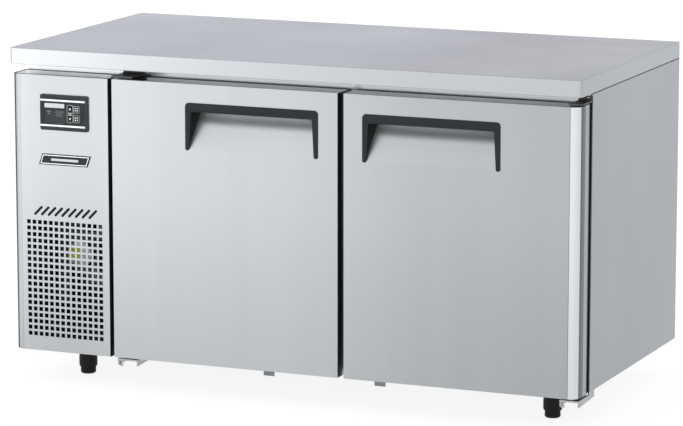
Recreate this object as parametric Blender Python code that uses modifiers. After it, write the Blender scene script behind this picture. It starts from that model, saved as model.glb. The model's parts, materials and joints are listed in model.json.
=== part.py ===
"""Under-counter refrigerator: machine compartment on the left, two hinged doors, a flat worktop.

Metres, +Z up, front towards -Y. The origin is on the floor under the middle of the worktop.
"""

import math

import bmesh
import bpy
from mathutils import Matrix, Vector

# Overall size
WIDTH = 1.500
DEPTH = 0.750
HEIGHT = 0.850
HALF_W = WIDTH / 2
HALF_D = DEPTH / 2

# Common gaps and stock
CLEAR = 0.0003  # between solids that touch
PLAY = 0.00035  # radial play of a pin or shaft in its bore
SHEET = 0.0012
RIM = 0.0008  # folded edge of the sheet
OVER = 0.010  # how far a cutter reaches past the wall that it cuts
ROUND_STEPS = 16
LEG_STEPS = 24

# Levels and fronts
TOP_T = 0.041
TOP_CORNER_R = 0.012
TOP_LOW = HEIGHT - TOP_T
UNDERSIDE_INSET = 0.050  # width of the worktop's turned-in edge
BODY_LOW = 0.090
BODY_HIGH = TOP_LOW - CLEAR
BASE_T = 0.0015
FRAME_FRONT = -0.290
FRAME_T = 0.010
BACK_T = 0.0015
BODY_BACK = HALF_D - BACK_T - CLEAR
FRONT = -0.367  # front plane of the doors and the machine panel
DOOR_T = 0.066
DOOR_LOW = 0.0865
DOOR_HIGH = 0.785
EDGE_R = 0.024  # rounded outer front edges of the cabinet

# Widths along X
PANEL_X = (-0.7495, -0.480)
DOOR_X = {"left": (-0.4715, 0.1315), "right": (0.147, 0.7455)}
HINGE_SIDE = {"left": -1, "right": 1}
PARTITION_X = -0.479  # left face of the cold compartment's insulation
OPENINGS_X = {"left": (-0.4375, 0.1075), "right": (0.171, 0.7115)}
OPENING_Z = (0.112, 0.759)
MACHINE_OPENING_HIGH = 0.772
KICK_TABS_X = (-0.081, 0.2145)
KICK_TAB_W = 0.029
KICK_TAB_DROP = 0.031
KICK_TAB_REACH = 0.0085
MULLION_BACK = -0.250
CAVITY_BACK = 0.325

# Doors
HINGE_INSET_X = 0.018
HINGE_INSET_Y = 0.016
PIN_R = 0.004
BUSH_R = 0.007
BUSH_LEN = 0.018
HINGE_TOP_X = {"left": (-0.4745, -0.4165), "right": (0.7150, 0.7485)}
HINGE_BOTTOM_X = {"left": (-0.4645, -0.4100), "right": (0.7000, 0.7485)}
HINGE_CHEEK_H = 0.0165
HINGE_PLATE_T = 0.004
HINGE_FRONT = 0.012  # how far a hinge plate reaches in front of its pin
GASKET_W = 0.016
GASKET_FREE_INSET = 0.010
LINER_T = 0.0033
DISH_WALL = 0.0025
DISH_BACK = -0.278
HANDLE_W = 0.352
HANDLE_Z = (0.621, 0.7387)
HANDLE_OFFSET = 0.0745  # from the door's middle towards its free edge
HANDLE_PROUD = 0.0025
HANDLE_CORNER_R = 0.010
BAR_H = 0.0225
LEG_W = (0.011, 0.015)  # at the foot of each leg, and under the bar
POCKET_INSET = 0.006
POCKET_DEPTH = 0.056

# Machine panel
GRILLE_COLUMNS = 14
GRILLE_ROWS = 19
GRILLE_PITCH = (0.0153, 0.0158)
GRILLE_HOLE = 0.0103
GRILLE_CENTRE = (-0.6055, 0.2714)
SLOT_COUNT = 9
SLOT_PITCH = 0.0189
SLOT_Z = (0.433, 0.453)
SLOT_FIRST_X = -0.6872
SLOT_LEAN = 0.0188
SLOT_W = 0.0068
BEZEL_X = (-0.6665, -0.5355)
BEZEL_Z = (0.6487, 0.7378)
BEZEL_PROUD = 0.005
CASE_INSET = 0.009
CASE_DEPTH = 0.040
BADGE_X = (-0.6735, -0.5395)
BADGE_Z = (0.5607, 0.5882)
BADGE_LEAN = 0.0095
BADGE_T = 0.0015
KEYS = {  # each key's middle, right of and below the bezel's upper left corner
    "key_up": (0.0832, 0.0336),
    "key_down": (0.0832, 0.0584),
    "key_set": (0.1005, 0.0336),
    "key_power": (0.1005, 0.0574),
}
KEY_SIZE = (0.0125, 0.0140)
KEY_T = 0.0040
KEY_PROUD = 0.0009
WINDOW_X = (-0.6545, -0.5965)
WINDOW_Z = (0.668, 0.701)

# Legs
LEG_X = {"front": 0.627, "rear": 0.540}
LEG_Y = (-0.203, 0.285)
LEG_R = 0.024
LEG_LOW = 0.018
FOOT_R = 0.0195
STUD_R = 0.008

# Machine compartment
FAN_CENTRE = (-0.623, 0.3156)
FAN_R = 0.104
SHROUD_HOLE_R = 0.111
SHROUD_Y = -0.1375
SHROUD_T = 0.0020
COLLAR_T = 0.0030
COLLAR_STEPS = 36
BRACKET_Y = (-0.2335, -0.2315)
MOTOR_R = 0.036
COIL_X = (-0.737, -0.497)
COIL_Y = (-0.135, -0.075)
COIL_Z = (0.120, 0.455)
COMPRESSOR = (-0.610, 0.120)
PLATE_TOP = BODY_LOW + BASE_T + CLEAR + 0.003

# Cold compartment
EVAP_X = (-0.4360, -0.3475)
EVAP_Y = (-0.100, 0.300)
EVAP_Z = (0.135, 0.745)
EVAP_FAN = (0.100, 0.600)
EVAP_FAN_R = 0.067
SHELF_Z = 0.4123
SHELF_T = 0.006
SHELF_Y = (-0.238, 0.312)
SHELF_X = {"left": (-0.3275, 0.1295), "right": (0.1495, 0.6915)}
SHELF_SLOTS = 12
RACKS = {  # X span of the uprights, and of the ledges
    "rack_left": ((-0.3455, -0.3295), (-0.3455, -0.3155)),
    "rack_centre": ((0.1315, 0.1475), (0.1195, 0.1595)),
    "rack_right": ((0.6935, 0.7090), (0.6815, 0.7090)),
}

# Local axes of an outline drawn in a plane, as columns of a rotation
PLANES = {
    "xy": Matrix.Identity(4),
    "yz": Matrix(((0, 0, 1, 0), (1, 0, 0, 0), (0, 1, 0, 0), (0, 0, 0, 1))),
    "xz": Matrix(((1, 0, 0, 0), (0, 0, -1, 0), (0, 1, 0, 0), (0, 0, 0, 1))),
}


def clear_scene():
    for obj in list(bpy.data.objects):
        bpy.data.objects.remove(obj, do_unlink=True)


def new_collection(name):
    group = bpy.data.collections.new(name)
    bpy.context.scene.collection.children.link(group)
    return group


def principled(name, colour, roughness, metallic=0.0, alpha=1.0):
    material = bpy.data.materials.new(name)
    material.use_nodes = True
    shader = material.node_tree.nodes["Principled BSDF"]
    shader.inputs["Base Color"].default_value = (*colour, 1.0)
    shader.inputs["Roughness"].default_value = roughness
    shader.inputs["Metallic"].default_value = metallic
    shader.inputs["Alpha"].default_value = alpha
    return material


# ---------------------------------------------------------------- shapes


def middle(low, high):
    return [(a + b) / 2 for a, b in zip(low, high)]


def sign(value):
    return 0 if abs(value) < 1e-6 else (1 if value > 0 else -1)


def box_bmesh(low, high, rounded=(), radius=0.0, steps=6):
    """A box about its own middle. Each entry of rounded names an edge by its direction from there."""
    bm = bmesh.new()
    bmesh.ops.create_cube(bm, size=1.0)
    bmesh.ops.scale(bm, vec=[b - a for a, b in zip(low, high)], verts=bm.verts)
    if rounded:
        chosen = []
        for edge in bm.edges:
            mid = (edge.verts[0].co + edge.verts[1].co) / 2
            if tuple(sign(c) for c in mid) in rounded:
                chosen.append(edge)
        bmesh.ops.bevel(bm, geom=chosen, offset=radius, segments=steps, profile=0.5, affect="EDGES")
    return bm


def to_object(name, bm, location, collection):
    mesh = bpy.data.meshes.new(name)
    bm.to_mesh(mesh)
    bm.free()
    obj = bpy.data.objects.new(name, mesh)
    obj.location = location
    collection.objects.link(obj)
    return obj


def box(name, low, high, collection, rounded=(), radius=0.0):
    return to_object(name, box_bmesh(low, high, rounded, radius), middle(low, high), collection)


def boxes(name, spans, collection):
    """Several boxes that don't touch, in one mesh, for a cutter."""
    bm = bmesh.new()
    for low, high in spans:
        size = Matrix.Diagonal([b - a for a, b in zip(low, high)]).to_4x4()
        bmesh.ops.create_cube(bm, size=1.0, matrix=Matrix.Translation(middle(low, high)) @ size)
    return to_object(name, bm, (0, 0, 0), collection)


def axis_turn(axis):
    return {
        "x": Matrix.Rotation(math.pi / 2, 4, "Y"),
        "y": Matrix.Rotation(math.pi / 2, 4, "X"),
        "z": Matrix.Identity(4),
    }[axis]


def cylinder(name, centre, axis, radius, length, collection, end_radius=None, steps=ROUND_STEPS):
    """A cylinder or cone; radius is at the low end along the axis (the high end along Y)."""
    bm = bmesh.new()
    bmesh.ops.create_cone(
        bm,
        cap_ends=True,
        segments=steps,
        radius1=radius,
        radius2=radius if end_radius is None else end_radius,
        depth=length,
        matrix=axis_turn(axis),
    )
    return to_object(name, bm, centre, collection)


def outline_solid(name, points, plane, centre, thickness, collection):
    """A flat outline, extruded both ways from its plane, as a welded mesh."""
    curve = bpy.data.curves.new(name, "CURVE")
    curve.dimensions = "2D"
    curve.fill_mode = "BOTH"
    curve.extrude = thickness / 2
    spline = curve.splines.new("POLY")
    spline.points.add(len(points) - 1)
    for point, (a, b) in zip(spline.points, points):
        point.co = (a, b, 0, 1)
    spline.use_cyclic_u = True
    source = bpy.data.objects.new(name + "_outline", curve)
    bpy.context.scene.collection.objects.link(source)
    bpy.context.view_layer.update()
    flat = source.evaluated_get(bpy.context.evaluated_depsgraph_get())
    mesh = bpy.data.meshes.new_from_object(flat)
    bpy.data.objects.remove(source, do_unlink=True)
    bm = bmesh.new()
    bm.from_mesh(mesh)
    bpy.data.meshes.remove(mesh)
    bmesh.ops.remove_doubles(bm, verts=bm.verts, dist=0.00002)
    bmesh.ops.recalc_face_normals(bm, faces=bm.faces)
    bm.transform(PLANES[plane])
    return to_object(name, bm, centre, collection)


def arc(centre, radius, start, end, steps):
    """Points of an arc, angles in degrees."""
    turn = [math.radians(start + (end - start) * i / steps) for i in range(steps + 1)]
    return [(centre[0] + radius * math.cos(a), centre[1] + radius * math.sin(a)) for a in turn]


def tube(name, points, radius):
    """A pipe with a filleted centre line through the points."""
    curve = bpy.data.curves.new(name, "CURVE")
    curve.dimensions = "3D"
    curve.bevel_depth = radius
    curve.bevel_resolution = 2
    curve.use_fill_caps = True
    spline = curve.splines.new("POLY")
    spline.points.add(len(points) - 1)
    for point, co in zip(spline.points, points):
        point.co = (*co, 1)
    obj = bpy.data.objects.new(name, curve)
    parts.objects.link(obj)
    return obj


def filleted(corners, bend):
    """The corner points of a path, with each bend replaced by a short quadratic curve."""
    path = [Vector(corners[0])]
    for before, corner, after in zip(corners, corners[1:], corners[2:]):
        corner = Vector(corner)
        start = corner + (Vector(before) - corner).normalized() * bend
        end = corner + (Vector(after) - corner).normalized() * bend
        for t in (0.0, 0.25, 0.5, 0.75, 1.0):
            path.append(start * (1 - t) ** 2 + corner * 2 * t * (1 - t) + end * t**2)
    path.append(Vector(corners[-1]))
    return path


# ---------------------------------------------------------------- joining, cutting, placing


def boolean(target, other, operation):
    other.hide_render = True
    other.display_type = "WIRE"
    step = target.modifiers.new(other.name, "BOOLEAN")
    step.operation = operation
    step.solver = "EXACT"
    step.object = other


def cut(target, *others):
    for other in others:
        boolean(target, other, "DIFFERENCE")


def join(target, *others):
    for other in others:
        boolean(target, other, "UNION")


def soften(obj, width, steps=2):
    bevel = obj.modifiers.new("edges", "BEVEL")
    bevel.width = width
    bevel.segments = steps
    bevel.limit_method = "ANGLE"
    bevel.angle_limit = math.radians(40)


def smooth(obj):
    if obj.type == "MESH":
        obj.data.shade_smooth()
        obj.data.set_sharp_from_angle(angle=math.radians(35))


def paint(obj, material, pivot=None):
    """Gives a part its material, and hangs it and its cutters on the empty that it moves with."""
    obj.data.materials.append(material)
    smooth(obj)
    if pivot:
        helpers = [m.object for m in obj.modifiers if m.type == "BOOLEAN"]
        for piece in [obj] + helpers:
            piece.parent = pivot
            piece.location = piece.location - pivot.location
    return obj


def pivot_empty(name, location):
    empty = bpy.data.objects.new(name, None)
    empty.empty_display_size = 0.05
    empty.location = location
    parts.objects.link(empty)
    return empty


# ---------------------------------------------------------------- casing


def make_worktop():
    low, high = (-HALF_W, -HALF_D, TOP_LOW), (HALF_W, HALF_D, HEIGHT)
    corners = [(-1, -1, 0), (1, -1, 0)]
    top = box("worktop", low, high, parts, corners, TOP_CORNER_R)
    soften(top, 0.0015)
    hollow = box(
        "worktop_hollow",
        [c + SHEET for c in low],
        [c - SHEET for c in high],
        cutters,
        corners,
        TOP_CORNER_R - SHEET,
    )
    underside = box(
        "worktop_underside",
        (-HALF_W + UNDERSIDE_INSET, FRAME_FRONT + FRAME_T, TOP_LOW - OVER),
        (HALF_W - UNDERSIDE_INSET, HALF_D - UNDERSIDE_INSET, TOP_LOW + SHEET + OVER),
        cutters,
    )
    cut(top, hollow, underside)
    paint(top, steel)


def make_side_panels():
    for side, name in ((-1, "side_panel_left"), (1, "side_panel_right")):
        span = sorted((side * HALF_W, side * (HALF_W - SHEET)))
        panel = box(
            name,
            (span[0], FRAME_FRONT, BODY_LOW),
            (span[1], BODY_BACK, BODY_HIGH),
            parts,
        )
        paint(panel, steel)


def make_back_panel():
    panel = box(
        "back_panel", (-HALF_W, HALF_D - BACK_T, BODY_LOW), (HALF_W, HALF_D, BODY_HIGH), parts
    )
    slots = []
    for column in range(2):
        for row in range(16):
            x, z = -0.7200 + column * 0.125, 0.180 + row * 0.022
            slots.append(((x, HALF_D - OVER, z), (x + 0.095, HALF_D + OVER, z + 0.006)))
    cut(panel, boxes("back_louvres", slots, cutters))
    cut(panel, cylinder("cord_hole", (-0.600, HALF_D, 0.140), "y", 0.0085, 4 * OVER, cutters))
    paint(panel, galvanised)


def make_base_panel():
    """The floor sheet, with two small tabs under its front edge that once held a kick plate."""
    base = box(
        "base_panel",
        (-HALF_W + SHEET + CLEAR, FRAME_FRONT, BODY_LOW),
        (HALF_W - SHEET - CLEAR, BODY_BACK, BODY_LOW + BASE_T),
        parts,
    )
    tab_front = FRAME_FRONT - KICK_TAB_REACH
    for i, x in enumerate(KICK_TABS_X):
        low_x, high_x = x - KICK_TAB_W / 2, x + KICK_TAB_W / 2
        foot = box(
            f"kick_tab_foot_{i}",
            (low_x, tab_front, BODY_LOW),
            (high_x, FRAME_FRONT + OVER, BODY_LOW + BASE_T - CLEAR),
            cutters,
        )
        tab = box(
            f"kick_tab_{i}",
            (low_x, tab_front, BODY_LOW - KICK_TAB_DROP),
            (high_x, tab_front + BASE_T, BODY_LOW + BASE_T - 2 * CLEAR),
            cutters,
        )
        join(base, foot, tab)
    paint(base, galvanised)


def make_front_frame():
    """The frame round both door openings; its top rail runs on over the machine compartment."""
    low = (-HALF_W + SHEET + CLEAR, FRAME_FRONT, BODY_LOW + BASE_T + CLEAR)
    high = (HALF_W - SHEET - CLEAR, FRAME_FRONT + FRAME_T, BODY_HIGH)
    frame = box("front_frame", low, high, parts)
    openings = [
        ((x0, FRAME_FRONT - OVER, OPENING_Z[0]), (x1, FRAME_FRONT + FRAME_T + OVER, OPENING_Z[1]))
        for x0, x1 in OPENINGS_X.values()
    ]
    openings.append(
        (
            (low[0] - OVER, FRAME_FRONT - OVER, BODY_LOW - OVER),
            (PARTITION_X - 0.004, FRAME_FRONT + FRAME_T + OVER, MACHINE_OPENING_HIGH),
        )
    )
    cut(frame, boxes("frame_openings", openings, cutters))
    mullion = box(
        "frame_mullion",
        (OPENINGS_X["left"][1], FRAME_FRONT + 0.001, OPENING_Z[0] + 0.001),
        (OPENINGS_X["right"][0], MULLION_BACK, OPENING_Z[1] - 0.001),
        cutters,
    )
    join(frame, mullion)
    paint(frame, steel)


def cavity_span(grow):
    low = (OPENINGS_X["left"][0] - grow, FRAME_FRONT + FRAME_T, OPENING_Z[0] - grow)
    high = (OPENINGS_X["right"][1] + grow, CAVITY_BACK + grow, OPENING_Z[1] + grow)
    return low, high


def make_insulation():
    """The foamed body round the cold compartment, whose foam also fills the hollow worktop."""
    body = box(
        "insulation_body",
        (PARTITION_X, FRAME_FRONT + FRAME_T + CLEAR, BODY_LOW + BASE_T + CLEAR),
        (HALF_W - SHEET - CLEAR, BODY_BACK - CLEAR, BODY_HIGH - 0.001),
        parts,
    )
    low, high = cavity_span(SHEET + CLEAR)
    cut(body, box("insulation_cavity", (low[0], low[1] - OVER, low[2]), high, cutters))
    block = box(
        "worktop_block",
        (-HALF_W + UNDERSIDE_INSET + CLEAR, FRAME_FRONT + FRAME_T + CLEAR, TOP_LOW + SHEET + CLEAR),
        (HALF_W - UNDERSIDE_INSET - CLEAR, HALF_D - UNDERSIDE_INSET - CLEAR, HEIGHT - SHEET - CLEAR),
        cutters,
    )
    neck = box(
        "worktop_block_neck",
        (PARTITION_X + 0.001, FRAME_FRONT + FRAME_T + 2 * CLEAR, BODY_HIGH - 0.003),
        (HALF_W - UNDERSIDE_INSET - 2 * CLEAR, HALF_D - UNDERSIDE_INSET - 2 * CLEAR, HEIGHT - 0.010),
        cutters,
    )
    join(body, neck, block)
    suction = cylinder(
        "suction_hole", (PARTITION_X, 0.250, 0.560), "x", 0.010, 0.012, cutters
    )
    cut(body, suction)
    paint(body, foam)


def make_inner_liner():
    low, high = cavity_span(SHEET)
    liner = box("inner_liner", (low[0], low[1] + CLEAR, low[2]), high, parts)
    low, high = cavity_span(0)
    cut(liner, box("liner_inside", (low[0], low[1] - OVER, low[2]), high, cutters))
    paint(liner, inner_steel)


def grille_holes():
    spans = []
    half = GRILLE_HOLE / 2
    for column in range(GRILLE_COLUMNS):
        for row in range(GRILLE_ROWS):
            x = GRILLE_CENTRE[0] + (column - (GRILLE_COLUMNS - 1) / 2) * GRILLE_PITCH[0]
            z = GRILLE_CENTRE[1] + (row - (GRILLE_ROWS - 1) / 2) * GRILLE_PITCH[1]
            spans.append(((x - half, FRONT - OVER, z - half), (x + half, FRONT + OVER, z + half)))
    return boxes("grille_holes", spans, cutters)


def slanted_slot(index):
    x = SLOT_FIRST_X + index * SLOT_PITCH
    points = [
        (x - SLOT_W / 2, SLOT_Z[0]),
        (x + SLOT_W / 2, SLOT_Z[0]),
        (x + SLOT_LEAN + SLOT_W / 2, SLOT_Z[1]),
        (x + SLOT_LEAN - SLOT_W / 2, SLOT_Z[1]),
    ]
    return outline_solid(f"slot_{index}", points, "xz", (0, FRONT, 0), 2 * OVER, cutters)


def make_machine_panel():
    low, high = (PANEL_X[0], FRONT, DOOR_LOW), (PANEL_X[1], FRAME_FRONT - 0.0005, DOOR_HIGH)
    edge = [(-1, -1, 0)]
    panel = box("machine_panel", low, high, parts, edge, EDGE_R)
    soften(panel, RIM, 1)
    hollow = box(
        "panel_hollow",
        [c + SHEET for c in low],
        (high[0] - SHEET, high[1] + OVER, high[2] - SHEET),
        cutters,
        edge,
        EDGE_R - SHEET,
    )
    case_hole = box(
        "case_hole",
        (BEZEL_X[0] + CASE_INSET - CLEAR, FRONT - OVER, BEZEL_Z[0] + CASE_INSET - CLEAR),
        (BEZEL_X[1] - CASE_INSET + CLEAR, FRONT + OVER, BEZEL_Z[1] - CASE_INSET + CLEAR),
        cutters,
    )
    cut(panel, hollow, case_hole, grille_holes())
    cut(panel, *[slanted_slot(i) for i in range(SLOT_COUNT)])
    paint(panel, steel)


# ---------------------------------------------------------------- controller and badge


def key_place(name):
    right, down = KEYS[name]
    return BEZEL_X[0] + right, BEZEL_Z[1] - down


def make_controller():
    bezel = box(
        "controller_bezel",
        (BEZEL_X[0], FRONT - BEZEL_PROUD, BEZEL_Z[0]),
        (BEZEL_X[1], FRONT - CLEAR, BEZEL_Z[1]),
        parts,
        [(-1, 0, -1), (-1, 0, 1), (1, 0, -1), (1, 0, 1)],
        0.004,
    )
    case = box(
        "controller_case",
        (BEZEL_X[0] + CASE_INSET, FRONT - 0.002, BEZEL_Z[0] + CASE_INSET),
        (BEZEL_X[1] - CASE_INSET, FRONT + CASE_DEPTH, BEZEL_Z[1] - CASE_INSET),
        cutters,
    )
    join(bezel, case)
    window_y = FRONT - BEZEL_PROUD + 0.0018
    recess = box(
        "window_recess",
        (WINDOW_X[0] - CLEAR, FRONT - BEZEL_PROUD - OVER, WINDOW_Z[0] - CLEAR),
        (WINDOW_X[1] + CLEAR, window_y + CLEAR, WINDOW_Z[1] + CLEAR),
        cutters,
    )
    cut(bezel, recess)
    for name in KEYS:
        x, z = key_place(name)
        half_w, half_h = KEY_SIZE[0] / 2 + PLAY, KEY_SIZE[1] / 2 + PLAY
        seat = box(
            name + "_seat",
            (x - half_w, FRONT - BEZEL_PROUD - OVER, z - half_h),
            (x + half_w, FRONT - BEZEL_PROUD + KEY_T + 0.0004, z + half_h),
            cutters,
        )
        cut(bezel, seat)
    paint(bezel, dark_plastic)
    window = box(
        "display_window",
        (WINDOW_X[0], FRONT - BEZEL_PROUD + 0.0004, WINDOW_Z[0]),
        (WINDOW_X[1], window_y, WINDOW_Z[1]),
        parts,
    )
    paint(window, window_plastic)


def make_keys():
    for name in KEYS:
        x, z = key_place(name)
        front = FRONT - BEZEL_PROUD - KEY_PROUD
        pivot = pivot_empty(name + "_slide", (x, front, z))
        key = box(
            name,
            (x - KEY_SIZE[0] / 2, front, z - KEY_SIZE[1] / 2),
            (x + KEY_SIZE[0] / 2, front + KEY_T, z + KEY_SIZE[1] / 2),
            parts,
            [(-1, 0, -1), (-1, 0, 1), (1, 0, -1), (1, 0, 1)],
            0.002,
        )
        paint(key, key_plastic, pivot)


def make_badge():
    points = [
        (BADGE_X[0], BADGE_Z[0]),
        (BADGE_X[1], BADGE_Z[0]),
        (BADGE_X[1] + BADGE_LEAN, BADGE_Z[1]),
        (BADGE_X[0] + BADGE_LEAN, BADGE_Z[1]),
    ]
    middle_y = FRONT - CLEAR - BADGE_T / 2
    plate = outline_solid("badge_plate", points, "xz", (0, middle_y, 0), BADGE_T, parts)
    paint(plate, black_plastic)


# ---------------------------------------------------------------- doors


def wedge(name, x_span, grow, face_y=FRONT - OVER):
    """The handle pocket: a floor slanting in from the face to its full depth under a level roof."""
    foot_z = HANDLE_Z[0] + 0.004 - 2.5 * grow
    roof_z = HANDLE_Z[1] - POCKET_INSET + grow
    deep_y = FRONT + POCKET_DEPTH + 1.7 * grow
    start_y = max(face_y, FRONT)
    start_z = foot_z + (start_y - FRONT) * (roof_z - foot_z) / (deep_y - FRONT)
    points = [(start_y, start_z), (deep_y, roof_z), (face_y, roof_z)]
    if face_y < start_y:
        points.append((face_y, start_z))
    x_middle = (x_span[0] + x_span[1]) / 2
    width = x_span[1] - x_span[0] + 2 * grow
    return outline_solid(name, points, "yz", (x_middle, 0, 0), width, cutters)


def bush_places(side):
    x = pivot_x(side)
    y = FRONT + HINGE_INSET_Y
    return {"top": (x, y, DOOR_HIGH - CLEAR), "bottom": (x, y, DOOR_LOW + CLEAR)}


def pivot_x(side):
    return {"left": DOOR_X["left"][0] + HINGE_INSET_X, "right": DOOR_X["right"][1] - HINGE_INSET_X}[side]


def handle_span(side):
    x0, x1 = DOOR_X[side]
    centre = (x0 + x1) / 2 - HINGE_SIDE[side] * HANDLE_OFFSET
    return centre - HANDLE_W / 2, centre + HANDLE_W / 2


def pocket_span(side):
    x0, x1 = handle_span(side)
    return x0 + POCKET_INSET, x1 - POCKET_INSET


def opposite(side, hinge_value, free_value):
    """Insets at low X and high X, for a value on the hinge side and one on the free side."""
    return (hinge_value, free_value) if side == "left" else (free_value, hinge_value)


def bush_cutters(prefix, side, radius, depth):
    found = []
    for end, (x, y, z) in bush_places(side).items():
        found.append(cylinder(f"{prefix}_{side}_{end}_hole", (x, y, z), "z", radius, depth, cutters))
    return found


def make_door_skin(side, pivot):
    x0, x1 = DOOR_X[side]
    low, high = (x0, FRONT, DOOR_LOW), (x1, FRONT + DOOR_T, DOOR_HIGH)
    edge = [(1, -1, 0)] if side == "right" else []
    skin = box(f"door_{side}_skin", low, high, parts, edge, EDGE_R)
    soften(skin, RIM)
    hollow = box(
        f"door_{side}_hollow",
        [c + SHEET for c in low],
        (high[0] - SHEET, high[1] + OVER, high[2] - SHEET),
        cutters,
        edge,
        EDGE_R - SHEET,
    )
    cut(skin, hollow)
    join(skin, wedge(f"door_{side}_pocket_wall", pocket_span(side), SHEET, FRONT + 0.0005))
    cut(skin, wedge(f"door_{side}_pocket", pocket_span(side), 0.0))
    cut(skin, *bush_cutters("skin", side, BUSH_R + CLEAR, 0.008))
    paint(skin, steel, pivot)


def dish_span(side, inset):
    """The raised part of the liner, which reaches into the opening."""
    x0, x1 = OPENINGS_X[side]
    low_inset, high_inset = opposite(side, 0.012, 0.014)
    low = (x0 + low_inset + inset, OPENING_Z[0] + 0.014 + inset)
    high = (x1 - high_inset - inset, OPENING_Z[1] - 0.014 - inset)
    return low, high


def make_door_core(side, pivot):
    x0, x1 = DOOR_X[side]
    gap = SHEET + CLEAR
    back = FRONT + DOOR_T - LINER_T - 2 * CLEAR
    edge = [(1, -1, 0)] if side == "right" else []
    core = box(
        f"door_{side}_core",
        (x0 + gap, FRONT + gap, DOOR_LOW + gap),
        (x1 - gap, back, DOOR_HIGH - gap),
        parts,
        edge,
        EDGE_R - gap,
    )
    (ax, az), (bx, bz) = dish_span(side, DISH_WALL + CLEAR)
    raised = box(
        f"door_{side}_core_raised",
        (ax, back - 0.010, az),
        (bx, DISH_BACK - DISH_WALL - CLEAR, bz),
        cutters,
    )
    join(core, raised)
    cut(core, wedge(f"door_{side}_core_pocket", pocket_span(side), SHEET + CLEAR))
    cut(core, *bush_cutters("core", side, BUSH_R + CLEAR, 2 * BUSH_LEN + 0.004))
    paint(core, foam, pivot)


def make_door_liner(side, pivot):
    x0, x1 = DOOR_X[side]
    gap = SHEET + CLEAR
    back = FRONT + DOOR_T - 0.0002
    front = back - LINER_T
    liner = box(
        f"door_{side}_liner",
        (x0 + gap, front, DOOR_LOW + gap),
        (x1 - gap, back, DOOR_HIGH - gap),
        parts,
    )
    (ax, az), (bx, bz) = dish_span(side, 0)
    corners = [(-1, 0, -1), (-1, 0, 1), (1, 0, -1), (1, 0, 1)]
    dish = box(f"door_{side}_dish", (ax, front + 0.001, az), (bx, DISH_BACK, bz), cutters, corners, 0.012)
    (ax, az), (bx, bz) = dish_span(side, DISH_WALL)
    inside = box(
        f"door_{side}_dish_inside",
        (ax, front - OVER, az),
        (bx, DISH_BACK - DISH_WALL, bz),
        cutters,
    )
    join(liner, dish)
    cut(liner, inside)
    paint(liner, white_plastic, pivot)


def make_door_gasket(side, pivot):
    x0, x1 = DOOR_X[side]
    low_inset, high_inset = opposite(side, HINGE_INSET_X + 0.0005, GASKET_FREE_INSET)
    low = (x0 + low_inset, FRONT + DOOR_T + 0.0002, DOOR_LOW + GASKET_FREE_INSET)
    high = (x1 - high_inset, FRAME_FRONT - 0.0005, DOOR_HIGH - GASKET_FREE_INSET)
    gasket = box(f"door_{side}_gasket", low, high, parts)
    soften(gasket, 0.003)
    inside = box(
        f"door_{side}_gasket_inside",
        (low[0] + GASKET_W, low[1] - OVER, low[2] + GASKET_W),
        (high[0] - GASKET_W, high[1] + OVER, high[2] - GASKET_W),
        cutters,
    )
    cut(gasket, inside)
    paint(gasket, rubber, pivot)


def handle_outline():
    """The inverted U, about the middle of its width, at its own height."""
    half, (low, high) = HANDLE_W / 2, HANDLE_Z
    radius, inner = HANDLE_CORNER_R, 0.004
    under_bar = high - BAR_H
    right = arc((half - radius, high - radius), radius, 90, 0, 6)
    right += [(half, low), (half - LEG_W[0], low)]
    right += arc((half - LEG_W[1] - inner, under_bar - inner), inner, 0, 90, 4)
    left = [(-x, z) for x, z in reversed(right)]
    return right + left


def make_door_handle(side, pivot):
    x0, x1 = handle_span(side)
    centre = (x0 + x1) / 2
    thickness = HANDLE_PROUD - CLEAR
    middle_y = FRONT - CLEAR - thickness / 2
    handle = outline_solid(
        f"door_{side}_handle", handle_outline(), "xz", (centre, middle_y, 0), thickness, parts
    )
    px0, px1 = pocket_span(side)
    roof = HANDLE_Z[1] - POCKET_INSET - CLEAR
    slope = POCKET_DEPTH / (HANDLE_Z[1] - POCKET_INSET - HANDLE_Z[0] - 0.004)
    cheek_foot, cheek_depth = HANDLE_Z[0] + 0.012, 0.050
    points = [
        (FRONT - 0.0015, cheek_foot),
        (FRONT + 0.001, cheek_foot),
        (FRONT + cheek_depth, cheek_foot + (cheek_depth - 0.001) / slope),
        (FRONT + cheek_depth, roof),
        (FRONT - 0.0015, roof),
    ]
    for end, x in (("low", px0 + CLEAR + 0.001), ("high", px1 - CLEAR - 0.001)):
        cheek = outline_solid(
            f"door_{side}_handle_cheek_{end}", points, "yz", (x, 0, 0), 0.002, cutters
        )
        join(handle, cheek)
    ceiling = box(
        f"door_{side}_handle_roof",
        (px0 + CLEAR + 0.0005, FRONT - 0.0014, roof - 0.002),
        (px1 - CLEAR - 0.0005, FRONT + cheek_depth - 0.0005, roof - 0.0001),
        cutters,
    )
    grip = box(
        f"door_{side}_handle_grip",
        (px0 + CLEAR + 0.0006, FRONT - 0.0013, HANDLE_Z[1] - BAR_H + 0.0006),
        (px1 - CLEAR - 0.0006, FRONT + 0.009, roof - 0.001),
        cutters,
    )
    join(handle, ceiling, grip)
    paint(handle, handle_plastic, pivot)


def make_door_bushes(side, pivot):
    for end, (x, y, z) in bush_places(side).items():
        middle_z = z - BUSH_LEN / 2 if end == "top" else z + BUSH_LEN / 2
        bush = cylinder(f"door_{side}_bush_{end}", (x, y, middle_z), "z", BUSH_R, BUSH_LEN, parts)
        cut(
            bush,
            cylinder(
                f"door_{side}_bush_{end}_bore", (x, y, middle_z), "z", PIN_R + PLAY, 2 * BUSH_LEN, cutters
            ),
        )
        paint(bush, nylon, pivot)


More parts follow.
